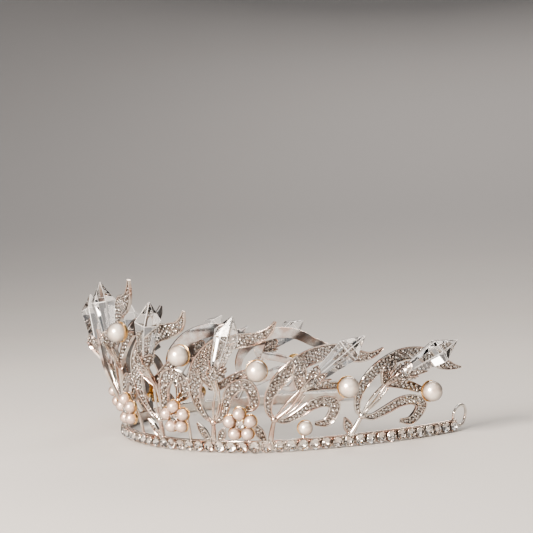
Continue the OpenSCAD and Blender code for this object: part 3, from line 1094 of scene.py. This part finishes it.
@dataclass(frozen=True)
class Crystal:
    """A six-sided pencil-pointed crystal with softly broken edges."""

    length: float = 27.6
    point: float = 9.0
    radius: float = 5.5
    foot_radius: float = 2.3
    edge: float = 0.18

    def build(self, spray: Spray) -> Shape:
        """Cuts the crystal of a spray.

        Args:
            spray: the spray that carries it.

        Returns:
            The crystal's shape.
        """
        axis = spray.crystal_axis
        right = unit(np.cross(UP, axis))
        pose = Pose(spray.crystal_foot, right, np.cross(axis, right), axis)
        foot = circle(turns(6), self.foot_radius)
        shoulder = circle(turns(6), self.radius, self.length - self.point)
        work = bmesh.new()
        corners = [work.verts.new(p) for p in np.vstack([foot, shoulder, [[0, 0, self.length]]])]
        work.faces.new(corners[5::-1])
        for k in range(6):
            n = (k + 1) % 6
            work.faces.new((corners[k], corners[n], corners[n + 6], corners[k + 6]))
            work.faces.new((corners[k + 6], corners[n + 6], corners[12]))
        broken = bmesh.ops.bevel(work, geom=list(work.edges), offset=self.edge, segments=1, affect="EDGES")
        edges = set(broken["faces"])
        work.verts.index_update()
        shape = Shape()
        shape.add(pose.put(np.array([v.co[:] for v in work.verts])),
                  [tuple(v.index for v in face.verts) for face in work.faces],
                  [Skin.SECOND if face in edges else Skin.MAIN for face in work.faces])
        work.free()
        return shape


@dataclass
class Calyx:
    """A cup of three pointed sepals round a crystal's foot, with a notch in front."""

    foot: Points
    axis: Points
    front: Points
    sides: int = 36
    levels: int = 9
    lined_to: int = 3
    below: float = 2.2
    notch: float = 1.6
    sepal: float = 4.2
    radius: float = 1.7
    widening: float = 0.33
    belly: float = 0.3
    wall: float = 0.42
    edge_radius: float = 0.32

    def __post_init__(self) -> None:
        """Finds the level directions round the crystal, and the angle of its front."""
        self.right = unit(np.cross(UP, self.axis))
        self.forward = np.cross(self.axis, self.right)
        self.start = math.atan2(np.dot(self.front, self.forward), np.dot(self.front, self.right))

    def skin(self, turn: float, share: float, grow: float = 0.0) -> Points:
        """A point of the cup's skin.

        Args:
            turn: angle round the crystal, from its front.
            share: share of the way up to the rim at that angle.
            grow: distance out from the skin.

        Returns:
            The point.
        """
        rise = share * (self.notch + self.sepal * abs(math.sin(1.5 * turn)) ** 1.3 + self.below)
        body = self.radius + rise * self.widening + self.belly * math.sin(math.pi * share) + grow
        around = self.start + turn
        level = self.right * math.cos(around) + self.forward * math.sin(around)
        return self.foot + self.axis * (rise - self.below) + level * body

    def ring(self, share: float, grow: float = 0.0) -> Points:
        """Points all round the skin, the same share of the way up."""
        return np.array([self.skin(turn, share, grow) for turn in turns(self.sides)])

    def build(self) -> Shape:
        """Makes the cup's outside, its lining down to the crystal, and its round edge."""
        rings = [self.ring(j / self.levels) for j in range(self.levels + 1)]
        rings += [self.ring(j / self.levels, -self.wall) for j in range(self.levels, self.lined_to, -1)]
        faces = ring_faces(len(rings), self.sides)
        outside = self.levels * self.sides
        shape = Shape()
        shape.add(np.vstack(rings), faces, [Skin.SECOND] * outside + [Skin.MAIN] * (len(faces) - outside))
        shape.join(tube(self.ring(1.0, -0.1), self.edge_radius, sides=8, closed=True))
        return shape


@dataclass
class SprayMaker:
    """Builds the metal, the small stones, the crystal, the pearl and its cup of one spray."""

    spray: Spray
    finishes: Finishes
    stone_pitch: float = 1.5
    stone_fill: float = 0.93
    stone_seat: float = 0.26
    least_stone: float = 0.7
    margins: tuple[float, float] = (0.7, 0.3)
    row_step: float = 0.9
    calyx_stone: float = 1.35
    foot_stone: float = 2.1
    grain_radius: float = 0.24
    grain_lift: float = 0.36
    wire_radius: float = 0.5
    knot_radius: float = 1.5
    post_radius: float = 0.8
    pearl_radius: float = 4.15
    cup_wall: float = 0.45
    gap: float = 0.12

    def __post_init__(self) -> None:
        """Starts the empty shapes that the methods fill."""
        self.metal = Shape()
        self.stones = StoneField(SMALL_CUT, seed=int(self.spray.s * 10) + 700, tip=17.0)

    def ribbon(self, ribbon: Ribbon, pitch: float | None = None) -> None:
        """Sweeps a ribbon and sets its bed with small stones.

        Args:
            ribbon: its table and section.
            pitch: pitch of the stones, or none for the spray's usual one.
        """
        rows = smooth_rows(ribbon.rows, ribbon.steps)
        ahead = np.gradient(rows[:, :2], axis=0)
        side = unit(np.column_stack([-ahead[:, 1], ahead[:, 0]]))
        bow = rows[:, 3] if rows.shape[1] > 3 else np.zeros(len(rows))
        base = np.arange(len(rows))

        def surface(i: Points, a: Points, q: Points) -> Points:
            """Points of the ribbon.

            Args:
                i: places along its smoothed table.
                a: distances across.
                q: distances out.

            Returns:
                One point for each.
            """
            x = np.interp(i, base, rows[:, 0]) + np.interp(i, base, side[:, 0]) * a
            y = np.interp(i, base, rows[:, 1]) + np.interp(i, base, side[:, 1]) * a
            out = q + ribbon.lift - np.interp(i, base, bow)
            return self.spray.point(x, y, out, ribbon.size, ribbon.turned)

        rings = []
        for i, row in enumerate(rows):
            section = ribbon.section(max(row[2], 0.5) / 2)
            rings.append(surface(np.full(len(section), float(i)), section[:, 0], section[:, 1]))
        sides = len(rings[0])
        faces = ring_faces(len(rings), sides)
        skins = [Skin.SECOND if k == BED_SIDE else Skin.MAIN for _ in rings[1:] for k in range(sides)]
        self.metal.add(np.vstack(rings), faces, [*skins, Skin.MAIN, Skin.MAIN])
        self.pave(rows, ribbon, surface, pitch or self.stone_pitch)

    def pave(self, rows: Points, ribbon: Ribbon, surface: Surface, pitch: float) -> None:
        """Sets small stones in staggered rows along a ribbon's bed, with a grain of metal between them.

        Args:
            rows: the ribbon's smoothed table.
            ribbon: its section.
            surface: gives points of the ribbon.
            pitch: distance between stones.
        """
        base = np.arange(len(rows), dtype=float)
        line = surface(base, np.zeros(len(rows)), np.zeros(len(rows)))
        run = np.concatenate([[0], np.cumsum(np.linalg.norm(np.diff(line, axis=0), axis=1))])
        scale = ribbon.size[0] if ribbon.size else self.spray.across
        first, last = self.margins
        station, odd = pitch * first, False
        while station < run[-1] - pitch * last:
            i = float(np.interp(station, run, base))
            half = float(np.interp(i, base, rows[:, 2])) / 2
            inner = (half - ribbon.rim_at(half)) * scale
            lanes = max(1, int(round(2 * inner / pitch)))
            spread = 2 * inner / lanes
            count = lanes - 1 if odd and lanes > 1 else lanes
            diameter = min(pitch, max(spread, self.least_stone)) * self.stone_fill
            for lane in range(count):
                a = (lane - (count - 1) / 2) * spread / scale
                seat = self.pose_on(surface, i, a, ribbon.bed_height + diameter * self.stone_seat)
                self.stones.set(seat, diameter)
                if lane < count - 1:
                    grain = self.pose_on(surface, i, a + spread / scale / 2,
                                         ribbon.bed_height + self.grain_lift)
                    self.metal.join(ball(grain.origin, self.grain_radius, grain, rings=3))
            odd = not odd
            station += pitch if lanes == 1 else spread * self.row_step

    def pose_on(self, surface: Surface, i: float, a: float, q: float) -> Pose:
        """The place on a ribbon, facing out of it.

        Args:
            surface: gives points of the ribbon.
            i: place along its smoothed table.
            a: distance across.
            q: distance out.

        Returns:
            The place.
        """
        d = 0.05
        p = surface(np.array([i, i - d, i + d, i, i]), np.array([a, a, a, a - d, a + d]), np.full(5, q))
        out = np.cross(p[4] - p[3], p[2] - p[1])
        away = PLAN.outward(self.spray.s) + (p[0] - HEAD) * HEAD_WEIGHT
        return Pose.facing(p[0], out if np.dot(out, away) > 0 else -out)

    def wires(self) -> None:
        """Draws the plain stems from the knot to the calyx, and rounds the solder of the knot."""
        for path, share in zip(STEMS, STEM_SHARES):
            rows = smooth_rows(path, 6)
            self.metal.join(tube(self.spray.point(rows[:, 0], rows[:, 1], 0.15), self.wire_radius * share))
        self.metal.join(ball(self.spray.point(0, 0, 0.1), self.knot_radius))

    def base(self) -> None:
        """Carries the knot on the band, with the small bud leaf beside it and a stone at the foot."""
        spray = self.spray
        foot = Spray("foot", spray.s - BUD_SHIFT, PLAN.height - 0.5, 0, 1, 1, 1, spray.flare,
                     0, 0, 0, 0, 0, 0)
        maker = SprayMaker(foot, self.finishes)
        maker.metal, maker.stones = self.metal, self.stones
        maker.ribbon(Ribbon(BUD, rim=0.45), 1.7)
        if spray.twin_bud:
            twin = [[1.2 - x * 0.8, y * 0.75, width * 0.85] for x, y, width in BUD]
            maker.ribbon(Ribbon(twin, rim=0.4), 1.6)
        start, rise = BUD_SHIFT - spray.root, spray.z - PLAN.height + 0.4
        across = np.array([start, start * 0.4 + 0.7, BUD_SHIFT])
        path = smooth_rows(foot.point(across, np.array([-0.6, rise * 0.45, rise]), 0.1), 5)
        self.metal.join(tube(path, np.linspace(1.25, self.post_radius, len(path)), sides=12))
        pose = Pose.facing(foot.point(start + 0.1, 0.6, 1.15), PLAN.outward(spray.s))
        self.metal.join(lathe([(1.2, -1.2), (1.25, 0.15), (1.05, 0.15), (0.9, -0.6)], pose, 16))
        self.stones.set(pose, self.foot_stone)

    def calyx(self) -> None:
        """Wraps the crystal's foot in its calyx, sets that with small stones, and draws its post."""
        spray = self.spray
        calyx = Calyx(spray.crystal_foot, spray.crystal_axis, spray.normal(spray.s + 6))
        self.metal.join(calyx.build())
        for share, count in CALYX_STONES:
            for turn in turns(count) + (math.pi / count if count % 4 else 0.0):
                origin = calyx.skin(turn, share, 0.32)
                away = calyx.skin(turn, share, 1.15) - origin
                held = Pose.facing(origin, away - calyx.axis * 0.35, calyx.axis)
                self.stones.set(held, self.calyx_stone)
        top, bottom = calyx.foot - calyx.axis * 1.6, spray.point(4.8, 14.4)
        path = np.array([top, (top + bottom) / 2, bottom])
        self.metal.join(tube(path, np.array([1.5, 1.3, 1.25]), sides=12))

    def branch(self) -> None:
        """Runs a narrow set branch from the calyx to the pearl, and the post that carries its cup."""
        spray = self.spray
        way = np.array([spray.pearl_x, spray.pearl_y]) - BRANCH_ROOT
        rows = [[*(BRANCH_ROOT + way * share + [0, rise]), width * spray.branch_width]
                for share, width, rise in BRANCH]
        self.ribbon(Ribbon(rows, lift=spray.branch_lift, rim=0.4))
        reach = spray.pearl_out - self.pearl_radius - self.cup_wall - spray.branch_lift
        root = spray.point(spray.pearl_x, spray.pearl_y, spray.branch_lift)
        away = PLAN.outward(spray.pearl_s) * reach
        self.metal.join(tube(np.array([root, root + away / 2, root + away]), self.post_radius, sides=12))

    def build(self) -> None:
        """Makes every piece of the spray, and of its mirror image where it has one."""
        spray, finishes = self.spray, self.finishes
        self.ribbon(Ribbon(spray.leaf()))
        curl_size = (spray.curled * spray.narrowed, spray.curled)
        self.ribbon(Ribbon(spray.curl(), lift=0.35, size=curl_size, turned=spray.turned, rim=0.5))
        self.ribbon(Ribbon(LOBE, lift=-0.15))
        self.ribbon(Ribbon(spray.sepal(), lift=0.2, rim=0.45))
        self.wires()
        self.base()
        self.calyx()
        self.branch()
        pearl = ball(spray.pearl_centre, self.pearl_radius, rings=26)
        cup = GiltCup(self.pearl_radius + self.gap, self.cup_wall, 44)
        held = Pose.facing(spray.pearl_centre, PLAN.outward(spray.pearl_s))
        for piece in (
            Piece("spray_{}_metal", "frame", Slot.SILVER, self.metal, [finishes.rhodium, finishes.bed]),
            Piece("spray_{}_small_stones", "curl_stones", Slot.STONE, self.stones.shape,
                  [finishes.stone, finishes.foil], 12.0),
            Piece("spray_{}_crystal", "crystal_{}", Slot.CRYSTAL, Crystal().build(spray),
                  [finishes.crystal, finishes.crystal_edge], 12.0),
            Piece("spray_{}_pearl", "pearl_{}", Slot.PEARL, pearl, [finishes.pearl]),
            Piece("spray_{}_cup", "pearl_cups", Slot.GILT, cup.build(held), [finishes.gilding]),
        ):
            for place in places(spray.name, spray.mirrored):
                piece.settle(place)


# Columns after the name: the fields of a spray from s to pearl_y, in their order. Some go on with
# turned, narrowed, root and reach.
SPRAYS = [
    Spray("front", -6.6, 13.0, 0.0, 1.15, 1.34, 1.05, 7, 0.0, 0.0, 6.7, 21.9, 23.2, 26.5,
          mirrored=False),
    Spray("1", 33.9, 12.4, -2.6, 0.95, 1.08, 1.20, 20, 3.3, 21.8, 12.6, 23.0, 24.8, 26.1, -8, 0.85,
          reach=4.5),
    Spray("2", 61.2, 12.7, 1.6, 0.86, 0.97, 1.00, 20, 0.7, 27.1, 19.4, 21.2, 21.4, 22.9, -7, 0.88,
          reach=4.0, twin_bud=True, tucked=1.0),
    Spray("3", 84.9, 13.6, 23.2, 0.87, 1.00, 1.00, 20, 5.5, 48.8, 18.8, 19.6, 20.8, 22.2, tucked=0.8),
    Spray("4", 120.5, 12.3, 9.6, 0.80, 1.04, 1.22, 18, 35.7, 59.5, 21.1, 19.2, 26.3, 17.7, 13, 0.94, 4.9,
          8.5, tail=1.5, branch_width=1.35, tucked=1.0),
]
# Columns: name, s, z and out, and whether it has a mirror image.
FLOWERS = [("front", 16.6, 15.6, 5.4, False), ("1", 48.2, 15.0, 7.6, True), ("2", 73.6, 12.4, 6.5, True)]


@dataclass
class Band:
    """The band: a wired strip with a round cup, four claws and a cut stone at every pitch, and end rings."""

    finishes: Finishes
    cup_radius: float = 2.36
    cup_wall: float = 0.2
    stone_diameter: float = 4.36
    stone_out: float = 1.44
    wire_radius: float = 0.45
    ring_wire: float = 0.6
    ring_middle: tuple[float, float, float] = (3.6, 6.4, -0.45)
    ring_reach: tuple[float, float] = (4.2, 4.4)

    def strip(self) -> Shape:
        """Sweeps the strip behind the cups, the bright wire along its top, and the ring at each end."""
        s = np.linspace(-PLAN.end, PLAN.end, 240)
        rings = np.stack([PLAN.at(s, z, out) for out, z in STRIP], axis=1)
        shape = Shape()
        shape.add(rings, ring_faces(len(s), len(STRIP)))
        shape.join(tube(PLAN.at(s, 4.75, 0.7), self.wire_radius))
        along, up, out = self.ring_middle
        wide, high = self.ring_reach
        ring = PLAN.at(PLAN.end + along + wide * np.cos(turns(30)), up + high * np.sin(turns(30)), out)
        end = tube(ring, self.ring_wire, sides=12, closed=True)
        shape.join(end)
        shape.join(end.mirrored())
        return shape

    def stone_places(self) -> Points:
        """Lengths along the band at which its stones stand."""
        return np.arange(-PLAN.stones_each_side, PLAN.stones_each_side + 1) * PLAN.stone_pitch

    def cups(self) -> Shape:
        """Turns the cups, and folds a claw over each stone's edge at four places."""
        outer, inner = self.cup_radius, self.cup_radius - self.cup_wall
        profile = [(0.5, -0.3), (outer - 0.5, -0.3), (outer - 0.1, 0.2), (outer, 0.9), (outer - 0.06, 1.1),
                   (inner, 1.1), (inner - 0.3, 0.4), (0.5, 0.1)]
        bends = [(2.3, 0.3), (2.34, 1.4), (2.2, 1.8), (1.85, 1.98)]
        thickness = np.interp(np.arange(3 * CLAW_STEPS + 1) / CLAW_STEPS, range(4), [0.2, 0.22, 0.25, 0.16])
        shape = Shape()
        for s in self.stone_places():
            pose = Pose.facing(PLAN.at(s, PLAN.height / 2), PLAN.outward(s))
            shape.join(lathe(profile, pose, 20))
            shape.join(claws(pose, np.radians([45, 135, 225, 315]), bends, thickness))
        return shape

    def stones(self) -> Shape:
        """Sets the round stones."""
        stones = StoneField(Cut(brilliant=True), seed=41, tip=6.0)
        for s in self.stone_places():
            pose = Pose.facing(PLAN.at(s, PLAN.height / 2, self.stone_out), PLAN.outward(s))
            stones.set(pose, self.stone_diameter)
        return stones.shape

    def build(self) -> None:
        """Makes every piece of the band."""
        plate, glass = [self.finishes.rhodium], [self.finishes.stone, self.finishes.foil]
        Piece("band_strip", "frame", Slot.SILVER, self.strip(), plate).settle()
        Piece("band_cups", "frame", Slot.SILVER, self.cups(), plate).settle()
        Piece("band_cut_stones", "band_stones", Slot.STONE, self.stones(), glass, 12.0).settle()


@dataclass
class Flower:
    """Five small pearls in gilt cups round a claw-set stone, on a wire from the band."""

    finishes: Finishes
    name: str
    s: float
    z: float
    out: float
    mirrored: bool
    tilt: float = 10.0
    ring: float = 4.5
    pearl_radius: float = 2.5
    gap: float = 0.12
    cup_wall: float = 0.4
    stone_diameter: float = 3.4
    stone_lift: float = 0.642
    boss_depth: float = 3.2
    wire_radius: float = 0.7

    def __post_init__(self) -> None:
        """Finds the flower's middle, which faces outward and a little down, and those of its pearls."""
        way = PLAN.outward(self.s) - UP * math.tan(math.radians(self.tilt))
        self.pose = Pose.facing(PLAN.at(self.s, self.z, self.out), way)
        self.petals = self.pose.put(circle(math.pi / 2 + turns(5), self.ring))

    def pearls(self) -> Shape:
        """Rounds the five pearls."""
        shape = Shape()
        for centre in self.petals:
            shape.join(ball(centre, self.pearl_radius, rings=20))
        return shape

    def cups(self) -> Shape:
        """Turns a cup behind each pearl and the boss that joins them."""
        cup = GiltCup(self.pearl_radius + self.gap, self.cup_wall, 24)
        shape = Shape()
        for centre in self.petals:
            shape.join(cup.build(self.pose.moved(centre)))
        deep = -self.boss_depth
        boss = [(0.2, deep), (1.5, deep), (1.7, deep + 0.4), (1.7, -1.0), (1.2, -0.7), (0.2, -0.7)]
        shape.join(lathe(boss, self.pose))
        return shape

    def stone(self) -> Shape:
        """Sets the stone in the flower's middle."""
        stones = StoneField(Cut(brilliant=True), seed=5 + int(self.s), tip=2.0)
        stones.set(self.pose.moved(self.pose.origin + self.pose.out * self.stone_lift), self.stone_diameter)
        return stones.shape

    def setting(self) -> Shape:
        """Folds six claws over the middle stone, and draws the wire that carries the flower."""
        seat = [(1.2, -0.6), (1.75, -0.1), (1.78, 0.45), (1.6, 0.5), (1.5, 0.0), (1.0, -0.5)]
        bends = [(1.75, -0.3), (1.8, 0.6), (1.6, 1.0), (1.3, 1.12)]
        shape = lathe(seat, self.pose)
        shape.join(claws(self.pose, math.pi / 6 + turns(6), bends, 0.2))
        wire = [PLAN.at(self.s, PLAN.height - 0.5, -0.1), PLAN.at(self.s, self.z * 0.62),
                PLAN.at(self.s, self.z * 0.95, 0.6), self.pose.origin - self.pose.out * self.boss_depth]
        shape.join(tube(smooth_rows(wire, 6), self.wire_radius, sides=12))
        return shape

    def build(self) -> None:
        """Makes every piece of the flower, and of its mirror image where it has one."""
        finishes = self.finishes
        for piece in (
            Piece("flower_{}_pearls", "flower_{}", Slot.PEARL, self.pearls(), [finishes.rose_pearl]),
            Piece("flower_{}_cups", "flower_cups", Slot.GILT, self.cups(), [finishes.gilding]),
            Piece("flower_{}_stone", "flower_stones", Slot.STONE, self.stone(),
                  [finishes.stone, finishes.foil], 12.0),
            Piece("flower_{}_setting", "frame", Slot.SILVER, self.setting(), [finishes.rhodium]),
        ):
            for place in places(self.name, self.mirrored):
                piece.settle(place)


@dataclass
class LonePearl:
    """The small pearl that stands alone on the band at each side."""

    finishes: Finishes
    s: float = 96.7
    z: float = 9.4
    out: float = 2.6
    radius: float = 2.95
    gap: float = 0.1
    cup_wall: float = 0.35
    wire_radius: float = 0.65

    def build(self) -> None:
        """Makes the pearl, its gilt cup and its wire, on both sides."""
        centre = PLAN.at(self.s, self.z, self.out)
        pearl = ball(centre, self.radius, rings=22)
        cup = GiltCup(self.radius + self.gap, self.cup_wall, 30)
        held = Pose.facing(centre, PLAN.outward(self.s))
        bends = [PLAN.at(self.s, PLAN.height - 0.5, -0.3), PLAN.at(self.s, 7.0, -1.4),
                 PLAN.at(self.s, self.z, -1.6)]
        wire = tube(smooth_rows(bends, 6), self.wire_radius, sides=12)
        pieces = [
            Piece("lone_pearl_{}", "bead_{}", Slot.PEARL, pearl, [self.finishes.pearl]),
            Piece("lone_cup_{}", "frame", Slot.GILT, cup.build(held), [self.finishes.gilding]),
            Piece("lone_wire_{}", "frame", Slot.SILVER, wire, [self.finishes.rhodium]),
        ]
        for side in ("right", "left"):
            for piece in pieces:
                piece.settle(side)


@dataclass(frozen=True)
class Lamp:
    """A soft box: its place and its size in metres, its power in watts and its colour."""

    name: str
    place: tuple[float, float, float]
    size: tuple[float, float]
    power: float
    tint: str

    def hang(self) -> None:
        """Hangs the soft box, which looks at the tiara."""
        light = bpy.data.lights.new(self.name, "AREA")
        light.shape = "RECTANGLE"
        light.size, light.size_y = self.size
        light.energy = self.power
        light.color = linear(self.tint)[:3]
        box = bpy.data.objects.new(self.name, light)
        box.location = self.place
        aim = Vector((0.0, 0.0, 0.03)) - Vector(self.place)
        box.rotation_euler = aim.to_track_quat("-Z", "Y").to_euler()
        bpy.context.scene.collection.objects.link(box)


LAMPS = [
    Lamp("key_box", (0.6, -0.85, 0.44), (0.36, 0.36), 37.0, "#FFF3E8"),
    Lamp("front_box", (0.8, -0.1, 0.82), (1.1, 0.6), 2.2, "#FFFAF5"),
    Lamp("ceiling_box", (0.0, 0.0, 1.9), (1.8, 1.8), 13.0, "#FFFFFF"),
    Lamp("rim_box", (-1.1, 0.75, 0.95), (0.8, 0.5), 11.0, "#FFF4EA"),
]


@dataclass
class Studio:
    """Pale paper sweep, soft lights and the camera."""

    floor_radius: float = 0.5
    sweep: float = 1.7
    wall_height: float = 2.2
    lens: float = 87.8
    camera_at: tuple[float, float, float] = (551.8, -187.55, 85.0)
    heading: float = 70.65
    pitch: float = 1.26
    roll: float = -2.46

    def backdrop(self) -> None:
        """Turns the floor up into a round wall, so that no edge shows from any side."""
        profile = [(0.001, 0.0), (self.floor_radius, 0.0)]
        for t in np.radians(np.linspace(5, 90, 18)):
            profile.append((self.floor_radius + self.sweep * math.sin(t), self.sweep * (1 - math.cos(t))))
        profile.append((self.floor_radius + self.sweep, self.wall_height))
        angles = turns(72)
        points = np.vstack([circle(angles, radius, height) for radius, height in profile])
        inward = [face[::-1] for face in ring_faces(len(profile), len(angles))]
        mesh = bpy.data.meshes.new("backdrop")
        mesh.from_pydata(points.tolist(), [], inward[:-1])
        mesh.materials.append(PaperBackdrop().build())
        mesh.shade_smooth()
        floor = bpy.data.objects.new("backdrop", mesh)
        bpy.context.scene.collection.objects.link(floor)

    def world(self) -> None:
        """Fills the shadows with a weak even light."""
        world = bpy.data.worlds.new("studio")
        bpy.context.scene.world = world
        world.use_nodes = True
        tree = world.node_tree
        tree.nodes.clear()
        back = add_node(tree, "ShaderNodeBackground", {"Color": linear("#DFE3E8"), "Strength": 0.2})
        add_node(tree, "ShaderNodeOutputWorld", links={"Surface": back.outputs["Background"]})

    def camera(self) -> None:
        """Stands the camera at the picture's angle."""
        heading, pitch, roll = (math.radians(a) for a in (self.heading, self.pitch, self.roll))
        level = np.array([-math.sin(heading), math.cos(heading), 0.0])
        across = np.array([math.cos(heading), math.sin(heading), 0.0])
        ahead = level * math.cos(pitch) - UP * math.sin(pitch)
        above = level * math.sin(pitch) + UP * math.cos(pitch)
        right = across * math.cos(roll) + above * math.sin(roll)
        top = -across * math.sin(roll) + above * math.cos(roll)
        data = bpy.data.cameras.new("camera")
        data.lens = self.lens
        data.sensor_width = 36.0
        data.clip_start = 0.01
        camera = bpy.data.objects.new("camera", data)
        turn = Matrix(np.column_stack([right, top, -ahead]).tolist()).to_4x4()
        camera.matrix_world = Matrix.Translation(Vector(self.camera_at) * MM) @ turn
        bpy.context.scene.collection.objects.link(camera)
        bpy.context.scene.camera = camera

    def build(self) -> None:
        """Sets up the studio."""
        self.backdrop()
        self.world()
        for lamp in LAMPS:
            lamp.hang()
        scene = bpy.context.scene
        scene.view_settings.view_transform = "AgX"
        scene.view_settings.look = "AgX - Medium High Contrast"
        self.camera()


def corners(box: tuple[Vector, Vector]) -> list[list[float]]:
    """A box's corners as plain lists of numbers."""
    return [[float(v) for v in corner] for corner in box]


def main() -> None:
    """Builds the sub-assemblies in order, then the studio."""
    logging.basicConfig(level=logging.INFO, format="%(name)s %(message)s")
    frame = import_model()
    finishes = Finishes()
    Band(finishes).build()
    for spray in SPRAYS:
        SprayMaker(spray, finishes).build()
    for flower in FLOWERS:
        Flower(finishes, *flower).build()
    LonePearl(finishes).build()
    log.info("%d nodes in the part", len(frame["nodes"]))
    Studio().build()


if __name__ == "__main__":
    main()
